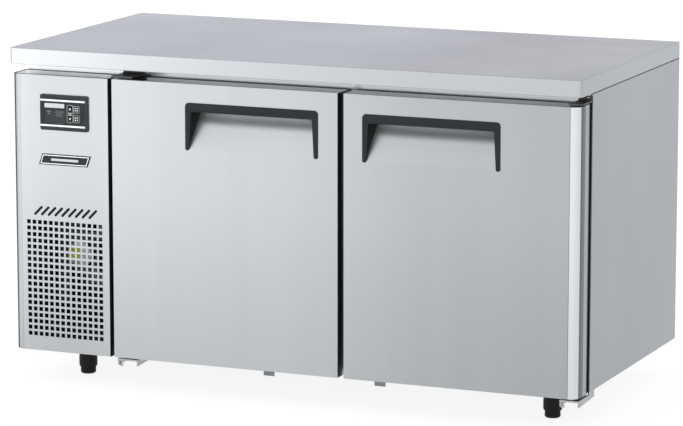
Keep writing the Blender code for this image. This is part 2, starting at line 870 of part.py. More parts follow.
def make_hinge_top(side):
    """A plate over the door on a flange of the front frame, with its pin standing in the door's bush."""
    x, y = pivot_x(side), FRONT + HINGE_INSET_Y
    x0, x1 = HINGE_TOP_X[side]
    low_z = DOOR_HIGH + 0.0035
    rounded = [(1, -1, 0)] if side == "right" else []
    plate = box(
        f"hinge_top_{side}",
        (x0, y - HINGE_FRONT, low_z),
        (x1, FRAME_FRONT - CLEAR, low_z + HINGE_PLATE_T),
        parts,
        rounded,
        EDGE_R - 0.004,
    )
    flange = box(
        f"hinge_top_{side}_flange",
        (x0, FRAME_FRONT - CLEAR - HINGE_PLATE_T, low_z + 0.001),
        (x1, FRAME_FRONT - CLEAR, low_z + 0.0145),
        cutters,
    )
    pin = cylinder(f"hinge_top_{side}_pin", (x, y, low_z - 0.0085), "z", PIN_R, 0.021, cutters)
    join(plate, flange, pin)
    paint(plate, hinge_metal)


def make_hinge_bottom(side):
    """A plate under the door between two cheeks, which run back under the cabinet's floor."""
    x, y = pivot_x(side), FRONT + HINGE_INSET_Y
    x0, x1 = HINGE_BOTTOM_X[side]
    high_z = DOOR_LOW - 0.0035
    low_z = high_z - HINGE_CHEEK_H
    cheek_t = 0.003
    plate = box(
        f"hinge_bottom_{side}",
        (x0, y - HINGE_FRONT, high_z - HINGE_PLATE_T),
        (x1, FRAME_FRONT - CLEAR, high_z),
        parts,
    )
    for end, cheek_x in (("low", x0), ("high", x1 - cheek_t)):
        profile = [
            (y - HINGE_FRONT + 0.002, low_z),
            (FRAME_FRONT + 0.040, low_z + 0.006),
            (FRAME_FRONT + 0.040, BODY_LOW - CLEAR),
            (FRAME_FRONT - 2 * CLEAR, BODY_LOW - CLEAR),
            (FRAME_FRONT - 2 * CLEAR, high_z - CLEAR),
            (y - HINGE_FRONT + 0.002, high_z - CLEAR),
        ]
        name = f"hinge_bottom_{side}_cheek_{end}"
        cheek = outline_solid(name, profile, "yz", (cheek_x + cheek_t / 2, 0, 0), cheek_t, cutters)
        join(plate, cheek)
    pin = cylinder(f"hinge_bottom_{side}_pin", (x, y, high_z + 0.0085), "z", PIN_R, 0.021, cutters)
    join(plate, pin)
    paint(plate, hinge_metal)


def make_doors():
    for side in DOOR_X:
        pivot = pivot_empty(f"door_{side}_hinge", (pivot_x(side), FRONT + HINGE_INSET_Y, DOOR_LOW))
        make_door_skin(side, pivot)
        make_door_core(side, pivot)
        make_door_liner(side, pivot)
        make_door_gasket(side, pivot)
        make_door_handle(side, pivot)
        make_door_bushes(side, pivot)
        make_hinge_top(side)
        make_hinge_bottom(side)


# ---------------------------------------------------------------- legs


def make_legs():
    corners = {
        "front_left": (-LEG_X["front"], LEG_Y[0]),
        "front_right": (LEG_X["front"], LEG_Y[0]),
        "rear_left": (-LEG_X["rear"], LEG_Y[1]),
        "rear_right": (LEG_X["rear"], LEG_Y[1]),
    }
    top = BODY_LOW - CLEAR
    for name, (x, y) in corners.items():
        length = top - LEG_LOW
        socket = cylinder(
            f"leg_{name}",
            (x, y, LEG_LOW + length / 2),
            "z",
            LEG_R - 0.002,
            length,
            parts,
            LEG_R,
            LEG_STEPS,
        )
        bore = cylinder(f"leg_{name}_bore", (x, y, 0.045), "z", STUD_R + PLAY + CLEAR, 0.056, cutters)
        cut(socket, bore)
        paint(socket, black_plastic)
        pivot = pivot_empty(f"foot_{name}_screw", (x, y, 0))
        chamfer = 0.003
        foot = cylinder(
            f"foot_{name}",
            (x, y, chamfer / 2),
            "z",
            FOOT_R - chamfer,
            chamfer,
            parts,
            FOOT_R,
            LEG_STEPS,
        )
        pad_high = LEG_LOW - CLEAR
        pad = cylinder(
            f"foot_{name}_pad",
            (x, y, (chamfer - 0.0003 + pad_high) / 2),
            "z",
            FOOT_R,
            pad_high - chamfer + 0.0003,
            cutters,
            steps=LEG_STEPS,
        )
        stud = cylinder(f"foot_{name}_stud", (x, y, 0.038), "z", STUD_R, 0.060, cutters)
        join(foot, pad, stud)
        paint(foot, black_plastic, pivot)


# ---------------------------------------------------------------- machine compartment


def make_unit_plate():
    plate = box(
        "unit_plate",
        (-HALF_W + 0.005, -0.275, BODY_LOW + BASE_T + CLEAR),
        (PARTITION_X - 0.0055, 0.365, PLATE_TOP),
        parts,
    )
    paint(plate, galvanised)


def make_compressor():
    """A welded steel dome on a foot plate, with its terminal box on the front."""
    cx, cy = COMPRESSOR
    base = PLATE_TOP + 0.012
    radius, dome = 0.074, 0.030
    bm = bmesh.new()
    profile = [(0.0, base + 0.185)]
    profile += [
        (radius * math.sin(math.radians(a)), base + 0.155 + dome * math.cos(math.radians(a)))
        for a in (30, 60, 90)
    ]
    profile += [(radius + 0.003, base + 0.090), (radius + 0.003, base + 0.084), (radius, base + 0.080)]
    profile += [(radius, base + 0.020), (radius * 0.75, base), (0.0, base)]
    verts = [bm.verts.new((r, 0, z)) for r, z in profile]
    for a, b in zip(verts, verts[1:]):
        bm.edges.new((a, b))
    shell = to_object("compressor", bm, (cx, cy, 0), parts)
    screw = shell.modifiers.new("turn", "SCREW")
    screw.steps = screw.render_steps = ROUND_STEPS
    screw.use_merge_vertices = True
    screw.merge_threshold = 0.00005
    feet = box(
        "compressor_feet",
        (cx - 0.095, cy - 0.070, base + 0.004),
        (cx + 0.095, cy + 0.070, base + 0.007),
        cutters,
    )
    join(shell, feet)
    for i, x in enumerate((cx - 0.080, cx + 0.080)):
        for j, y in enumerate((cy - 0.055, cy + 0.055)):
            height = base + 0.006 - PLATE_TOP - CLEAR
            centre = (x, y, PLATE_TOP + CLEAR + height / 2)
            grommet = cylinder(f"compressor_grommet_{i}{j}", centre, "z", 0.010, height, cutters, steps=12)
            join(shell, grommet)
    terminals = box(
        "compressor_terminals",
        (cx - 0.030, cy - radius - 0.030, base + 0.070),
        (cx + 0.030, cy - radius + 0.020, base + 0.140),
        cutters,
    )
    join(shell, terminals)
    paint(shell, black_metal)


def make_condenser():
    coil = box(
        "condenser_coil", (COIL_X[0], COIL_Y[0], COIL_Z[0]), (COIL_X[1], COIL_Y[1], COIL_Z[1]), parts
    )
    grooves = []
    count = 14
    pitch = (COIL_X[1] - COIL_X[0] - 0.010) / count
    for i in range(count):
        x = COIL_X[0] + 0.005 + (i + 0.25) * pitch
        for y0, y1 in ((COIL_Y[0] - OVER, COIL_Y[0] + 0.012), (COIL_Y[1] - 0.012, COIL_Y[1] + OVER)):
            grooves.append(((x, y0, COIL_Z[0] + 0.004), (x + pitch / 2, y1, COIL_Z[1] - 0.004)))
    cut(coil, boxes("condenser_grooves", grooves, cutters))
    paint(coil, aluminium)


def make_fan_shroud():
    """A sheet with a round collar for the blades, and a bracket in front that clamps the motor."""
    fx, fz = FAN_CENTRE
    shroud = box(
        "fan_shroud",
        (-0.740, SHROUD_Y - SHROUD_T, PLATE_TOP + 0.0105),
        (PARTITION_X - 0.0125, SHROUD_Y, 0.460),
        parts,
    )
    ring_y = SHROUD_Y - 0.0205
    collar = cylinder(
        "shroud_collar", (fx, ring_y, fz), "y", SHROUD_HOLE_R + COLLAR_T, 0.040, cutters, steps=COLLAR_STEPS
    )
    hole = cylinder("shroud_hole", (fx, ring_y, fz), "y", SHROUD_HOLE_R, 0.080, cutters, steps=COLLAR_STEPS)
    join(shroud, collar)
    cut(shroud, hole)

    front, back = BRACKET_Y
    upright = box(
        "bracket_upright", (fx - 0.061, front, fz - 0.1295), (fx - 0.034, back, fz + 0.0555), cutters
    )
    bar = box(
        "bracket_bar",
        (fx - 0.0609, front + 0.0002, fz + 0.0380),
        (fx + 0.0610, back - 0.0002, fz + 0.0553),
        cutters,
    )
    clamp = cylinder("bracket_clamp", (fx, front + SHEET, fz), "y", MOTOR_R + 0.010, 0.012, cutters)
    clamp_bore = cylinder("bracket_clamp_bore", (fx, front, fz), "y", MOTOR_R + CLEAR, 0.060, cutters)
    join(shroud, upright, bar, clamp)
    outer = SHROUD_HOLE_R + COLLAR_T / 2
    for i, (dx, dz) in enumerate(((-0.0475, -0.1245), (0.0510, 0.0465), (-0.0475, 0.0465))):
        reach = math.hypot(dx, dz)
        foot_x, foot_z = fx + dx * outer / reach, fz + dz * outer / reach
        if reach < SHROUD_HOLE_R:
            x, z = fx + dx, fz + dz
            out = box(
                f"bracket_out_{i}",
                (min(x, foot_x) - 0.004, front + 0.0003, min(z, foot_z) - 0.004),
                (max(x, foot_x) + 0.004, back - 0.0003, max(z, foot_z) + 0.004),
                cutters,
            )
            join(shroud, out)
        arm = box(
            f"bracket_arm_{i}",
            (foot_x - 0.0035, front + 0.0005, foot_z - 0.0035),
            (foot_x + 0.0035, SHROUD_Y - 0.0355, foot_z + 0.0035),
            cutters,
        )
        join(shroud, arm)
    cut(shroud, clamp_bore)
    paint(shroud, galvanised)


def fan_blade(name, centre, axis_name, radius, hub, blades, pivot):
    """A hub with pitched blades, bored for its shaft."""
    turn = {"y": "Y", "x": "X"}[axis_name]
    rotor = cylinder(name, centre, axis_name, hub, 0.024, parts)
    for i in range(blades):
        length = radius - hub + 0.006
        blade = box(f"{name}_blade_{i}", (-0.018, -0.0009, 0.0), (0.018, 0.0009, length), cutters)
        reach = hub - 0.006 + length / 2
        about = Matrix.Rotation(2 * math.pi * i / blades, 4, turn)
        pitched = Matrix.Rotation(math.radians(28), 4, "Z")
        lean = Matrix.Identity(4) if axis_name == "y" else Matrix.Rotation(math.pi / 2, 4, "Z")
        blade.data.transform(about @ Matrix.Translation((0, 0, reach)) @ lean @ pitched)
        blade.location = centre
        join(rotor, blade)
    cut(rotor, cylinder(f"{name}_bore", centre, axis_name, 0.004 + PLAY, 0.06, cutters))
    paint(rotor, fan_plastic, pivot)


def make_condenser_fan():
    fx, fz = FAN_CENTRE
    motor = cylinder("condenser_fan_motor", (fx, -0.228, fz), "y", MOTOR_R, 0.052, parts)
    shaft = cylinder("condenser_fan_shaft", (fx, -0.186, fz), "y", 0.004, 0.040, cutters)
    join(motor, shaft)
    paint(motor, black_metal)
    pivot = pivot_empty("condenser_fan_spin", (fx, -0.182, fz))
    fan_blade("condenser_fan_blade", (fx, -0.182, fz), "y", FAN_R, 0.022, 5, pivot)


def make_pipes():
    cx, cy = COMPRESSOR
    top = PLATE_TOP + 0.150
    discharge = filleted(
        [
            (cx + 0.0785, cy, top - 0.020),
            (cx + 0.104, cy, top - 0.020),
            (cx + 0.104, cy, 0.480),
            (cx + 0.104, -0.105, 0.480),
            (cx + 0.104, -0.105, COIL_Z[1] + CLEAR),
        ],
        0.014,
    )
    paint(tube("discharge_pipe", discharge, 0.004), copper)
    suction = filleted(
        [
            (cx - 0.0785, cy, top - 0.020),
            (cx - 0.105, cy, top - 0.020),
            (cx - 0.105, cy, 0.560),
            (cx - 0.105, 0.250, 0.560),
            (PARTITION_X + 0.003, 0.250, 0.560),
        ],
        0.020,
    )
    paint(tube("suction_pipe", suction, 0.006), copper)


def make_cord_gland():
    y = HALF_D - BACK_T
    collar = 0.0110
    gland = cylinder("cord_gland", (-0.600, y - CLEAR - 0.002, 0.140), "y", collar, 0.004, parts)
    nose = cylinder("cord_gland_nose", (-0.600, y - 0.004, 0.140), "y", 0.0080, 0.0092, cutters)
    join(gland, nose)
    cut(gland, cylinder("cord_gland_bore", (-0.600, y, 0.140), "y", 0.0045, 0.06, cutters))
    paint(gland, black_plastic)


# ---------------------------------------------------------------- cold compartment


def make_evaporator():
    x0, x1 = EVAP_X
    cover = box("evaporator_cover", (x0, EVAP_Y[0], EVAP_Z[0]), (x1, EVAP_Y[1], EVAP_Z[1]), parts)
    cut(
        cover,
        box(
            "evaporator_cover_inside",
            (x0 - OVER, EVAP_Y[0] + SHEET, EVAP_Z[0] + SHEET),
            (x1 - SHEET, EVAP_Y[1] - SHEET, EVAP_Z[1] - SHEET),
            cutters,
        ),
    )
    fy, fz = EVAP_FAN
    mouth_r = EVAP_FAN_R + 0.006
    mouth = cylinder(
        "evaporator_cover_mouth", (x1, fy, fz), "x", mouth_r, 2 * OVER, cutters, steps=COLLAR_STEPS
    )
    cut(cover, mouth)
    returns = []
    for i in range(16):
        y = -0.070 + i * 0.022
        returns.append(((x1 - OVER, y, 0.160), (x1 + OVER, y + 0.012, 0.300)))
    cut(cover, boxes("evaporator_returns", returns, cutters))
    paint(cover, inner_steel)

    coil = box("evaporator_coil", (x0 + 0.004, -0.085, 0.170), (x0 + 0.052, 0.285, 0.480), parts)
    grooves = []
    for i in range(12):
        y = -0.073 + i * 0.0290
        grooves.append(((x0 + 0.040, y, 0.175), (x0 + 0.060, y + 0.015, 0.475)))
    cut(coil, boxes("evaporator_grooves", grooves, cutters))
    paint(coil, aluminium)

    motor = cylinder("evaporator_fan_motor", (x0 + 0.024, fy, fz), "x", 0.030, 0.040, parts)
    plate = box(
        "evaporator_fan_plate",
        (x0 + 0.001, fy - 0.060, fz - 0.012),
        (x0 + 0.006, fy + 0.060, fz + 0.012),
        cutters,
    )
    shaft = cylinder("evaporator_fan_shaft", (x0 + 0.055, fy, fz), "x", 0.004, 0.030, cutters)
    join(motor, plate, shaft)
    paint(motor, black_metal)
    pivot = pivot_empty("evaporator_fan_spin", (x0 + 0.062, fy, fz))
    fan_blade("evaporator_fan_blade", (x0 + 0.062, fy, fz), "x", EVAP_FAN_R, 0.018, 5, pivot)


def make_racks():
    low_z, high_z = OPENING_Z[0] + CLEAR, OPENING_Z[1] - CLEAR
    for name, (upright_x, ledge_x) in RACKS.items():
        front = box(name, (upright_x[0], -0.232, low_z), (upright_x[1], -0.216, high_z), parts)
        rear = box(name + "_rear", (upright_x[0], 0.290, low_z), (upright_x[1], 0.306, high_z), cutters)
        ledge = box(
            name + "_ledge",
            (ledge_x[0], -0.2325, SHELF_Z - CLEAR - 0.012),
            (ledge_x[1], 0.3065, SHELF_Z - CLEAR),
            cutters,
        )
        join(front, rear, ledge)
        paint(front, inner_steel)


def make_shelves():
    for side, (x0, x1) in SHELF_X.items():
        pivot = pivot_empty(f"shelf_{side}_lift", ((x0 + x1) / 2, SHELF_Y[0], SHELF_Z))
        shelf = box(
            f"shelf_{side}", (x0, SHELF_Y[0], SHELF_Z), (x1, SHELF_Y[1], SHELF_Z + SHELF_T), parts
        )
        pitch = (x1 - x0 - 0.012) / SHELF_SLOTS
        halves = ((SHELF_Y[0] + 0.008, 0.034), (0.040, SHELF_Y[1] - 0.008))
        gaps = []
        for i in range(SHELF_SLOTS):
            x = x0 + 0.006 + i * pitch
            for y0, y1 in halves:
                gaps.append(((x + 0.002, y0, SHELF_Z - OVER), (x + pitch - 0.002, y1, SHELF_Z + OVER)))
        cut(shelf, boxes(f"shelf_{side}_gaps", gaps, cutters))
        paint(shelf, wire_steel, pivot)


clear_scene()
parts = new_collection("under_counter_fridge")
cutters = new_collection("cutters")

steel = principled("stainless_sheet", (0.62, 0.63, 0.64), 0.34, 1.0)
inner_steel = principled("inner_stainless", (0.60, 0.61, 0.62), 0.30, 1.0)
wire_steel = principled("coated_wire", (0.70, 0.71, 0.72), 0.35, 0.6)
galvanised = principled("galvanised_sheet", (0.55, 0.57, 0.58), 0.45, 1.0)
aluminium = principled("fin_aluminium", (0.62, 0.63, 0.64), 0.40, 1.0)
copper = principled("copper_pipe", (0.72, 0.38, 0.25), 0.30, 1.0)
black_metal = principled("black_enamel", (0.015, 0.015, 0.016), 0.40)
hinge_metal = principled("hinge_zinc", (0.16, 0.17, 0.18), 0.45, 0.8)
foam = principled("insulation_foam", (0.78, 0.72, 0.50), 0.90)
rubber = principled("gasket_rubber", (0.020, 0.020, 0.022), 0.65)
black_plastic = principled("black_plastic", (0.018, 0.019, 0.020), 0.45)
handle_plastic = principled("handle_plastic", (0.042, 0.050, 0.054), 0.50)
dark_plastic = principled("controller_plastic", (0.055, 0.060, 0.064), 0.45)
key_plastic = principled("key_plastic", (0.035, 0.038, 0.042), 0.50)
window_plastic = principled("window_plastic", (0.050, 0.055, 0.060), 0.15)
white_plastic = principled("liner_plastic", (0.80, 0.81, 0.80), 0.40)
fan_plastic = principled("fan_plastic", (0.030, 0.030, 0.032), 0.50)
nylon = principled("nylon", (0.75, 0.74, 0.70), 0.50)

make_worktop()
make_side_panels()
make_back_panel()
make_base_panel()
make_front_frame()
make_insulation()
make_inner_liner()
make_machine_panel()
make_controller()
make_keys()
make_badge()
make_doors()
make_legs()
make_unit_plate()
make_compressor()
make_condenser()
make_fan_shroud()
make_condenser_fan()
make_pipes()
make_cord_gland()
make_evaporator()
make_racks()
make_shelves()
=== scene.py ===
"""Looks for the under-counter refrigerator: materials, small parts, floor, light and camera."""

import json
import math

import bmesh
import bpy
from mathutils import Matrix, Vector


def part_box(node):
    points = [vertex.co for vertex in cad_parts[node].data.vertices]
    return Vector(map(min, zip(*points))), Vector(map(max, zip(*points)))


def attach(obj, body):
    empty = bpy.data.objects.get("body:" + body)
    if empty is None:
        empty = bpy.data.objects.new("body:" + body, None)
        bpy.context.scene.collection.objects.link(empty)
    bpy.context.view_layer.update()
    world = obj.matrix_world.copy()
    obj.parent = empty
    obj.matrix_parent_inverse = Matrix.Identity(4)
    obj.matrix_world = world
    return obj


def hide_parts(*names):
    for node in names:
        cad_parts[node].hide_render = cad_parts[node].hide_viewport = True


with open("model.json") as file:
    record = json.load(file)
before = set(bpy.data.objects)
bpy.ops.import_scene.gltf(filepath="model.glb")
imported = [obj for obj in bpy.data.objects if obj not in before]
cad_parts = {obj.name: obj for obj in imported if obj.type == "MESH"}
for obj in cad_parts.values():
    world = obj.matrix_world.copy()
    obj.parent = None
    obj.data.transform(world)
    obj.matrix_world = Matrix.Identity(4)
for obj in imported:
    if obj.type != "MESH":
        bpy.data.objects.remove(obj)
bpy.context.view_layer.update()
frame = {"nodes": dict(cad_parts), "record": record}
NODES = frame["nodes"]
SCENE = bpy.context.scene
MM = 0.001
DARK = 0.06  # plastics darker than this reflect less
NORMAL = ("ShaderNodeNewGeometry", "Normal")
PLACE = ("ShaderNodeTexCoord", "Object")
FLOOR_HALF = 3.2
FLOOR_PLACE = (2.05, 1.0, -0.0005)

# Gains and shifts that put a stretch of an axis on a colour ramp.
WHOLE = (0.5, 0.5)
HEIGHTS = (1.0, 0.0)
LEFT_END = (20.0, 15.0)
PANEL_END = (20.0, 10.0)
RIGHT_END = (20.0, -14.0)
SIDE_TOP = (20.0, -15.4)
DOOR_DEPTH = (18.0, 6.37)
SHROUD_DEPTH = (1.0, 0.5)


# ---------------------------------------------------------------- materials


def nodes_of(name, metallic=0.0):
    material = bpy.data.materials.new(name)
    material.use_nodes = True
    tree = material.node_tree
    shader = tree.nodes["Principled BSDF"]
    shader.inputs["Metallic"].default_value = metallic
    return material, tree, shader


def add(tree, kind, **values):
    """A shader node with some of its settings and unlinked inputs set."""
    node = tree.nodes.new(kind)
    for key, value in values.items():
        if hasattr(node, key):
            setattr(node, key, value)
        else:
            node.inputs[key].default_value = value
    return node


def connect(tree, shader, *sockets):
    """Links a colour, a roughness and a normal to the shader."""
    for socket, name in zip(sockets, ("Base Color", "Roughness", "Normal")):
        tree.links.new(socket, shader.inputs[name])


def maths(tree, operation, *values):
    """The result of a maths node; each value is a socket or a number."""
    node = add(tree, "ShaderNodeMath", operation=operation)
    for socket, value in zip(node.inputs, values):
        if isinstance(value, (int, float)):
            socket.default_value = value
        else:
            tree.links.new(value, socket)
    return node.outputs[0]


def stretched(tree, scale):
    """Object coordinates, scaled along each axis."""
    place = add(tree, "ShaderNodeTexCoord")
    mapping = add(tree, "ShaderNodeMapping")
    mapping.inputs["Scale"].default_value = scale
    tree.links.new(place.outputs["Object"], mapping.inputs["Vector"])
    return mapping.outputs["Vector"]


def noise(tree, scale, detail=3.0, roughness=0.55, coordinates=(1, 1, 1)):
    texture = add(tree, "ShaderNodeTexNoise", Scale=scale, Detail=detail, Roughness=roughness)
    tree.links.new(stretched(tree, coordinates), texture.inputs["Vector"])
    return texture.outputs["Fac"]


def rgba(level):
    """A colour or a grey, with its alpha."""
    return (*level, 1) if isinstance(level, tuple) else (level, level, level, 1)


def ramp(tree, factor, low, high, start=0.3, end=0.7):
    """A colour or grey that follows a factor."""
    node = add(tree, "ShaderNodeValToRGB")
    first, last = node.color_ramp.elements
    first.position, last.position = start, end
    first.color, last.color = rgba(low), rgba(high)
    tree.links.new(factor, node.inputs["Fac"])
    return node.outputs["Color"]


def bump(tree, height, strength, distance):
    node = add(tree, "ShaderNodeBump", Strength=strength, Distance=distance)
    tree.links.new(height, node.inputs["Height"])
    return node.outputs["Normal"]


def shade(colour, factor):
    return tuple(c * factor for c in colour)


def scaled_by(tree, colour, factor):
    """A colour multiplied by a grey."""
    node = add(tree, "ShaderNodeVectorMath", operation="MULTIPLY")
    tree.links.new(colour, node.inputs[0])
    tree.links.new(factor, node.inputs[1])
    return node.outputs["Vector"]


def part_of(tree, kind, output, axis):
    """One axis of the surface's normal or of its place in the object."""
    source = add(tree, kind)
    split = add(tree, "ShaderNodeSeparateXYZ")
    tree.links.new(source.outputs[output], split.inputs["Vector"])
    return split.outputs[axis]


def banded(tree, value, span, stops, interpolation="CONSTANT"):
    """A colour that changes at each stop; span is the gain and shift that put a value on the ramp."""
    gain, shift = span
    place = maths(tree, "MULTIPLY_ADD", value, gain, shift)
    node = add(tree, "ShaderNodeValToRGB")
    node.color_ramp.interpolation = interpolation
    elements = node.color_ramp.elements
    elements.remove(elements[-1])
    for i, (limit, colour) in enumerate(stops):
        element = elements[0] if i == 0 else elements.new(gain * limit + shift)
        element.color = rgba(colour)
    tree.links.new(place, node.inputs["Fac"])
    return node.outputs["Color"]


def past(tree, colour, value, limit):
    """The colour where the value is past the limit, and white before it."""
    gate = maths(tree, "GREATER_THAN", value, limit)
    mix = add(tree, "ShaderNodeMix", data_type="RGBA")
    mix.inputs["A"].default_value = (1, 1, 1, 1)
    tree.links.new(gate, mix.inputs["Factor"])
    tree.links.new(colour, mix.inputs["B"])
    return mix.outputs["Result"]


def marked(tree, tint, marks):
    """The tint with sharp bands over it, along the axes of its normal or of its place."""
    for kind, output, axis, span, stops in marks:
        tint = scaled_by(tree, tint, banded(tree, part_of(tree, kind, output, axis), span, stops))
    return tint


def brushed(name, colour, grain, rough, depth=0.06, marks=(), fade=(), parts=()):
    """Satin stainless sheet: fine scratches along the grain, faint clouds, a little handling wear.

    Marks are sharp bands, fades are smooth ones, and parts are bands that show only past a limit; the fades
    and parts are painted shade and light.
    """
    material, tree, shader = nodes_of(name, 1.0)
    along_grain = {"x": (2, 900, 900), "y": (900, 2, 900), "z": (900, 900, 2)}[grain]
    wide = {"x": (0.6, 14, 14), "y": (14, 0.6, 14), "z": (14, 14, 0.6)}[grain]
    scratches = noise(tree, 1.0, 2.0, 0.6, along_grain)
    bands = noise(tree, 1.0, 3.0, 0.55, wide)
    clouds = noise(tree, 2.2, 4.0)
    mean = maths(tree, "MULTIPLY", maths(tree, "ADD", scratches, bands), 0.5)
    tint = ramp(tree, mean, shade(colour, 0.965), shade(colour, 1.03))
    tint = marked(tree, tint, marks)
    for axis, span, stops in fade:
        tint = scaled_by(tree, tint, banded(tree, part_of(tree, *PLACE, axis), span, stops, "LINEAR"))
    for kind, output, axis, limit, along_axis, span, stops, interpolation in parts:
        bands = banded(tree, part_of(tree, *PLACE, along_axis), span, stops, interpolation)
        tint = scaled_by(tree, tint, past(tree, bands, part_of(tree, kind, output, axis), limit))
    gloss = ramp(tree, clouds, rough - 0.03, rough + 0.04)
    connect(tree, shader, tint, gloss, bump(tree, scratches, depth, 0.0002))
    return material


def plastic(name, colour, rough, grain_scale=900.0, depth=0.12, spread=0.12):
    """Moulded plastic with a fine spark-eroded grain and slightly uneven gloss."""
    material, tree, shader = nodes_of(name)
    if max(colour) < DARK:
        shader.inputs["Specular IOR Level"].default_value = 0.15
    fine = noise(tree, grain_scale, 2.0)
    clouds = noise(tree, 18.0, 4.0)
    tint = ramp(tree, clouds, shade(colour, 1 - spread), shade(colour, 1 + spread))
    gloss = ramp(tree, clouds, rough - 0.05, rough + 0.06)
    connect(tree, shader, tint, gloss, bump(tree, fine, depth, 0.0003))
    return material


def spangled(name, colour, rough, marks=()):
    """Galvanised sheet: large zinc crystals of slightly different greys."""
    material, tree, shader = nodes_of(name, 1.0)
    cells = add(tree, "ShaderNodeTexVoronoi", Scale=70.0, Randomness=1.0)
    tree.links.new(stretched(tree, (1, 1, 1)), cells.inputs["Vector"])
    level = add(tree, "ShaderNodeSeparateColor")
    tree.links.new(cells.outputs["Color"], level.inputs["Color"])
    tint = ramp(tree, level.outputs["Red"], shade(colour, 0.91), shade(colour, 1.07), 0.0, 1.0)
    tint = marked(tree, tint, marks)
    gloss = ramp(tree, level.outputs["Green"], rough - 0.08, rough + 0.1, 0.0, 1.0)
    connect(tree, shader, tint, gloss, bump(tree, noise(tree, 160.0), 0.1, 0.0003))
    return material


def metal(name, colour, rough, depth=0.1):
    """Plain drawn or plated metal with fine unevenness."""
    material, tree, shader = nodes_of(name, 1.0)
    clouds = noise(tree, 60.0, 4.0)
    tint = ramp(tree, clouds, shade(colour, 0.9), shade(colour, 1.08))
    gloss = ramp(tree, clouds, rough - 0.05, rough + 0.06)
    connect(tree, shader, tint, gloss, bump(tree, noise(tree, 700.0), depth, 0.0002))
    return material


def floor_material():
    """A pale studio floor, lit from beneath like a light table, so that it throws no hard shadow."""
    material, tree, shader = nodes_of("pale_floor")
    shader.inputs["Specular IOR Level"].default_value = 0.0
    shader.inputs["Emission Color"].default_value = (1.0, 1.0, 1.0, 1)
    shader.inputs["Emission Strength"].default_value = 0.88
    connect(tree, shader, ramp(tree, noise(tree, 3.0), 0.14, 0.16))
    shader.inputs["Roughness"].default_value = 0.9
    return material


WORKTOP = brushed(
    "worktop_brushed", (0.42, 0.43, 0.465), "x", 0.30,
    marks=[
        # Painted light and shade: faces towards the front lighter, the other faces darker, and the right
        # end face lighter again.
        (*NORMAL, "Y", WHOLE, [(-1, (1.10, 1.11, 1.05)), (-0.5, (0.765, 0.785, 0.82))]),
        (*NORMAL, "X", WHOLE, [(-1, 1.0), (0.9, (1.30, 1.36, 1.28))]),
    ],
    # Painted shade: darker towards the right.
    fade=[("X", WHOLE, [(-0.75, 1.0), (-0.1, 0.96), (0.35, 0.88), (0.75, 0.86)])],
    # Painted shade on the top face: darker towards the right, with a faint blue tint.
    parts=[
        (*PLACE, "Z", 0.8492, "X", WHOLE, [
            (-0.75, (1.0, 1.0, 1.04)), (0.0, (0.96, 0.96, 1.03)),
            (0.35, (0.81, 0.81, 0.87)), (0.75, (0.90, 0.90, 0.94)),
        ], "LINEAR"),
    ],
)
DOOR = brushed(
    "door_brushed", (0.67, 0.70, 0.724), "z", 0.34,
    marks=[
        # Painted shade and light: a dark line along the machine panel's left edge, painted shadow in the
        # gap beside it, and painted highlight and reflection bands on the right door's bright rounded edge.
        (*PLACE, "X", LEFT_END, [
            (-0.75, 0.60), (-0.7478, 0.04), (-0.7376, 0.58), (-0.7255, 0.50), (-0.7235, 0.66),
        ]),
        (*PLACE, "X", PANEL_END, [(-0.5, 1.0), (-0.4826, 0.02), (-0.4770, 1.0)]),
        (*PLACE, "X", RIGHT_END, [(0.70, 1.0), (0.7203, 0.45), (0.7216, 1.70), (0.7432, 0.50)]),
        # Painted light: faces that point up are lighter.
        (*NORMAL, "Z", WHOLE, [(-1, 1.0), (0.25, 1.15), (0.5, 2.0)]),
    ],
    # Painted shade: darker towards the right, and a little darker towards the top.
    fade=[
        ("X", WHOLE, [
            (-0.75, 1.06), (-0.60, 0.95), (-0.45, 1.03), (0.0, 1.02), (0.35, 0.86), (0.75, 0.79),
        ]),
        ("Z", HEIGHTS, [(0.1, 1.0), (0.5, 0.99), (0.8, 0.93)]),
    ],
    parts=[
        # Painted reflection: a darker band at the front and a bright band behind it along the right door's
        # polished side.
        (*PLACE, "X", 0.7432, "Y", DOOR_DEPTH, [(-0.3539, 0.78), (-0.3275, 2.1)], "CONSTANT"),
        # Painted light on faces that point up at handle height, which lifts the shadow under each grip's
        # bar.
        (*NORMAL, "Z", 0.2, "Z", HEIGHTS, [
            (0.0, 1.0), (0.665, 1.0), (0.690, 1.25), (0.702, 2.0), (0.738, 2.05), (0.745, 1.0),
        ], "LINEAR"),
    ],
)
SIDE = brushed(
    "side_brushed", (0.335, 0.350, 0.382), "z", 0.34,
    marks=[(*PLACE, "Z", SIDE_TOP, [(0.77, 1.0), (0.8068, 0.08)])],
)
FRAME_STEEL = brushed(
    "frame_brushed", (0.70, 0.71, 0.72), "x", 0.24,
    marks=[
        # Painted shade: darker right of the machine panel, where the frame stands behind the doors, and a
        # dark line near its right end with darker steel beyond.
        (*PLACE, "X", PANEL_END, [(-0.5, 1.0), (-0.4720, 0.76)]),
        (*PLACE, "X", RIGHT_END, [(0.70, 1.0), (0.7440, 0.02), (0.7466, 0.62)]),
    ],
)
INNER = brushed("inner_brushed", (0.62, 0.63, 0.64), "z", 0.28)
GALVANISED = spangled("galvanised_spangle", (0.55, 0.57, 0.58), 0.42)
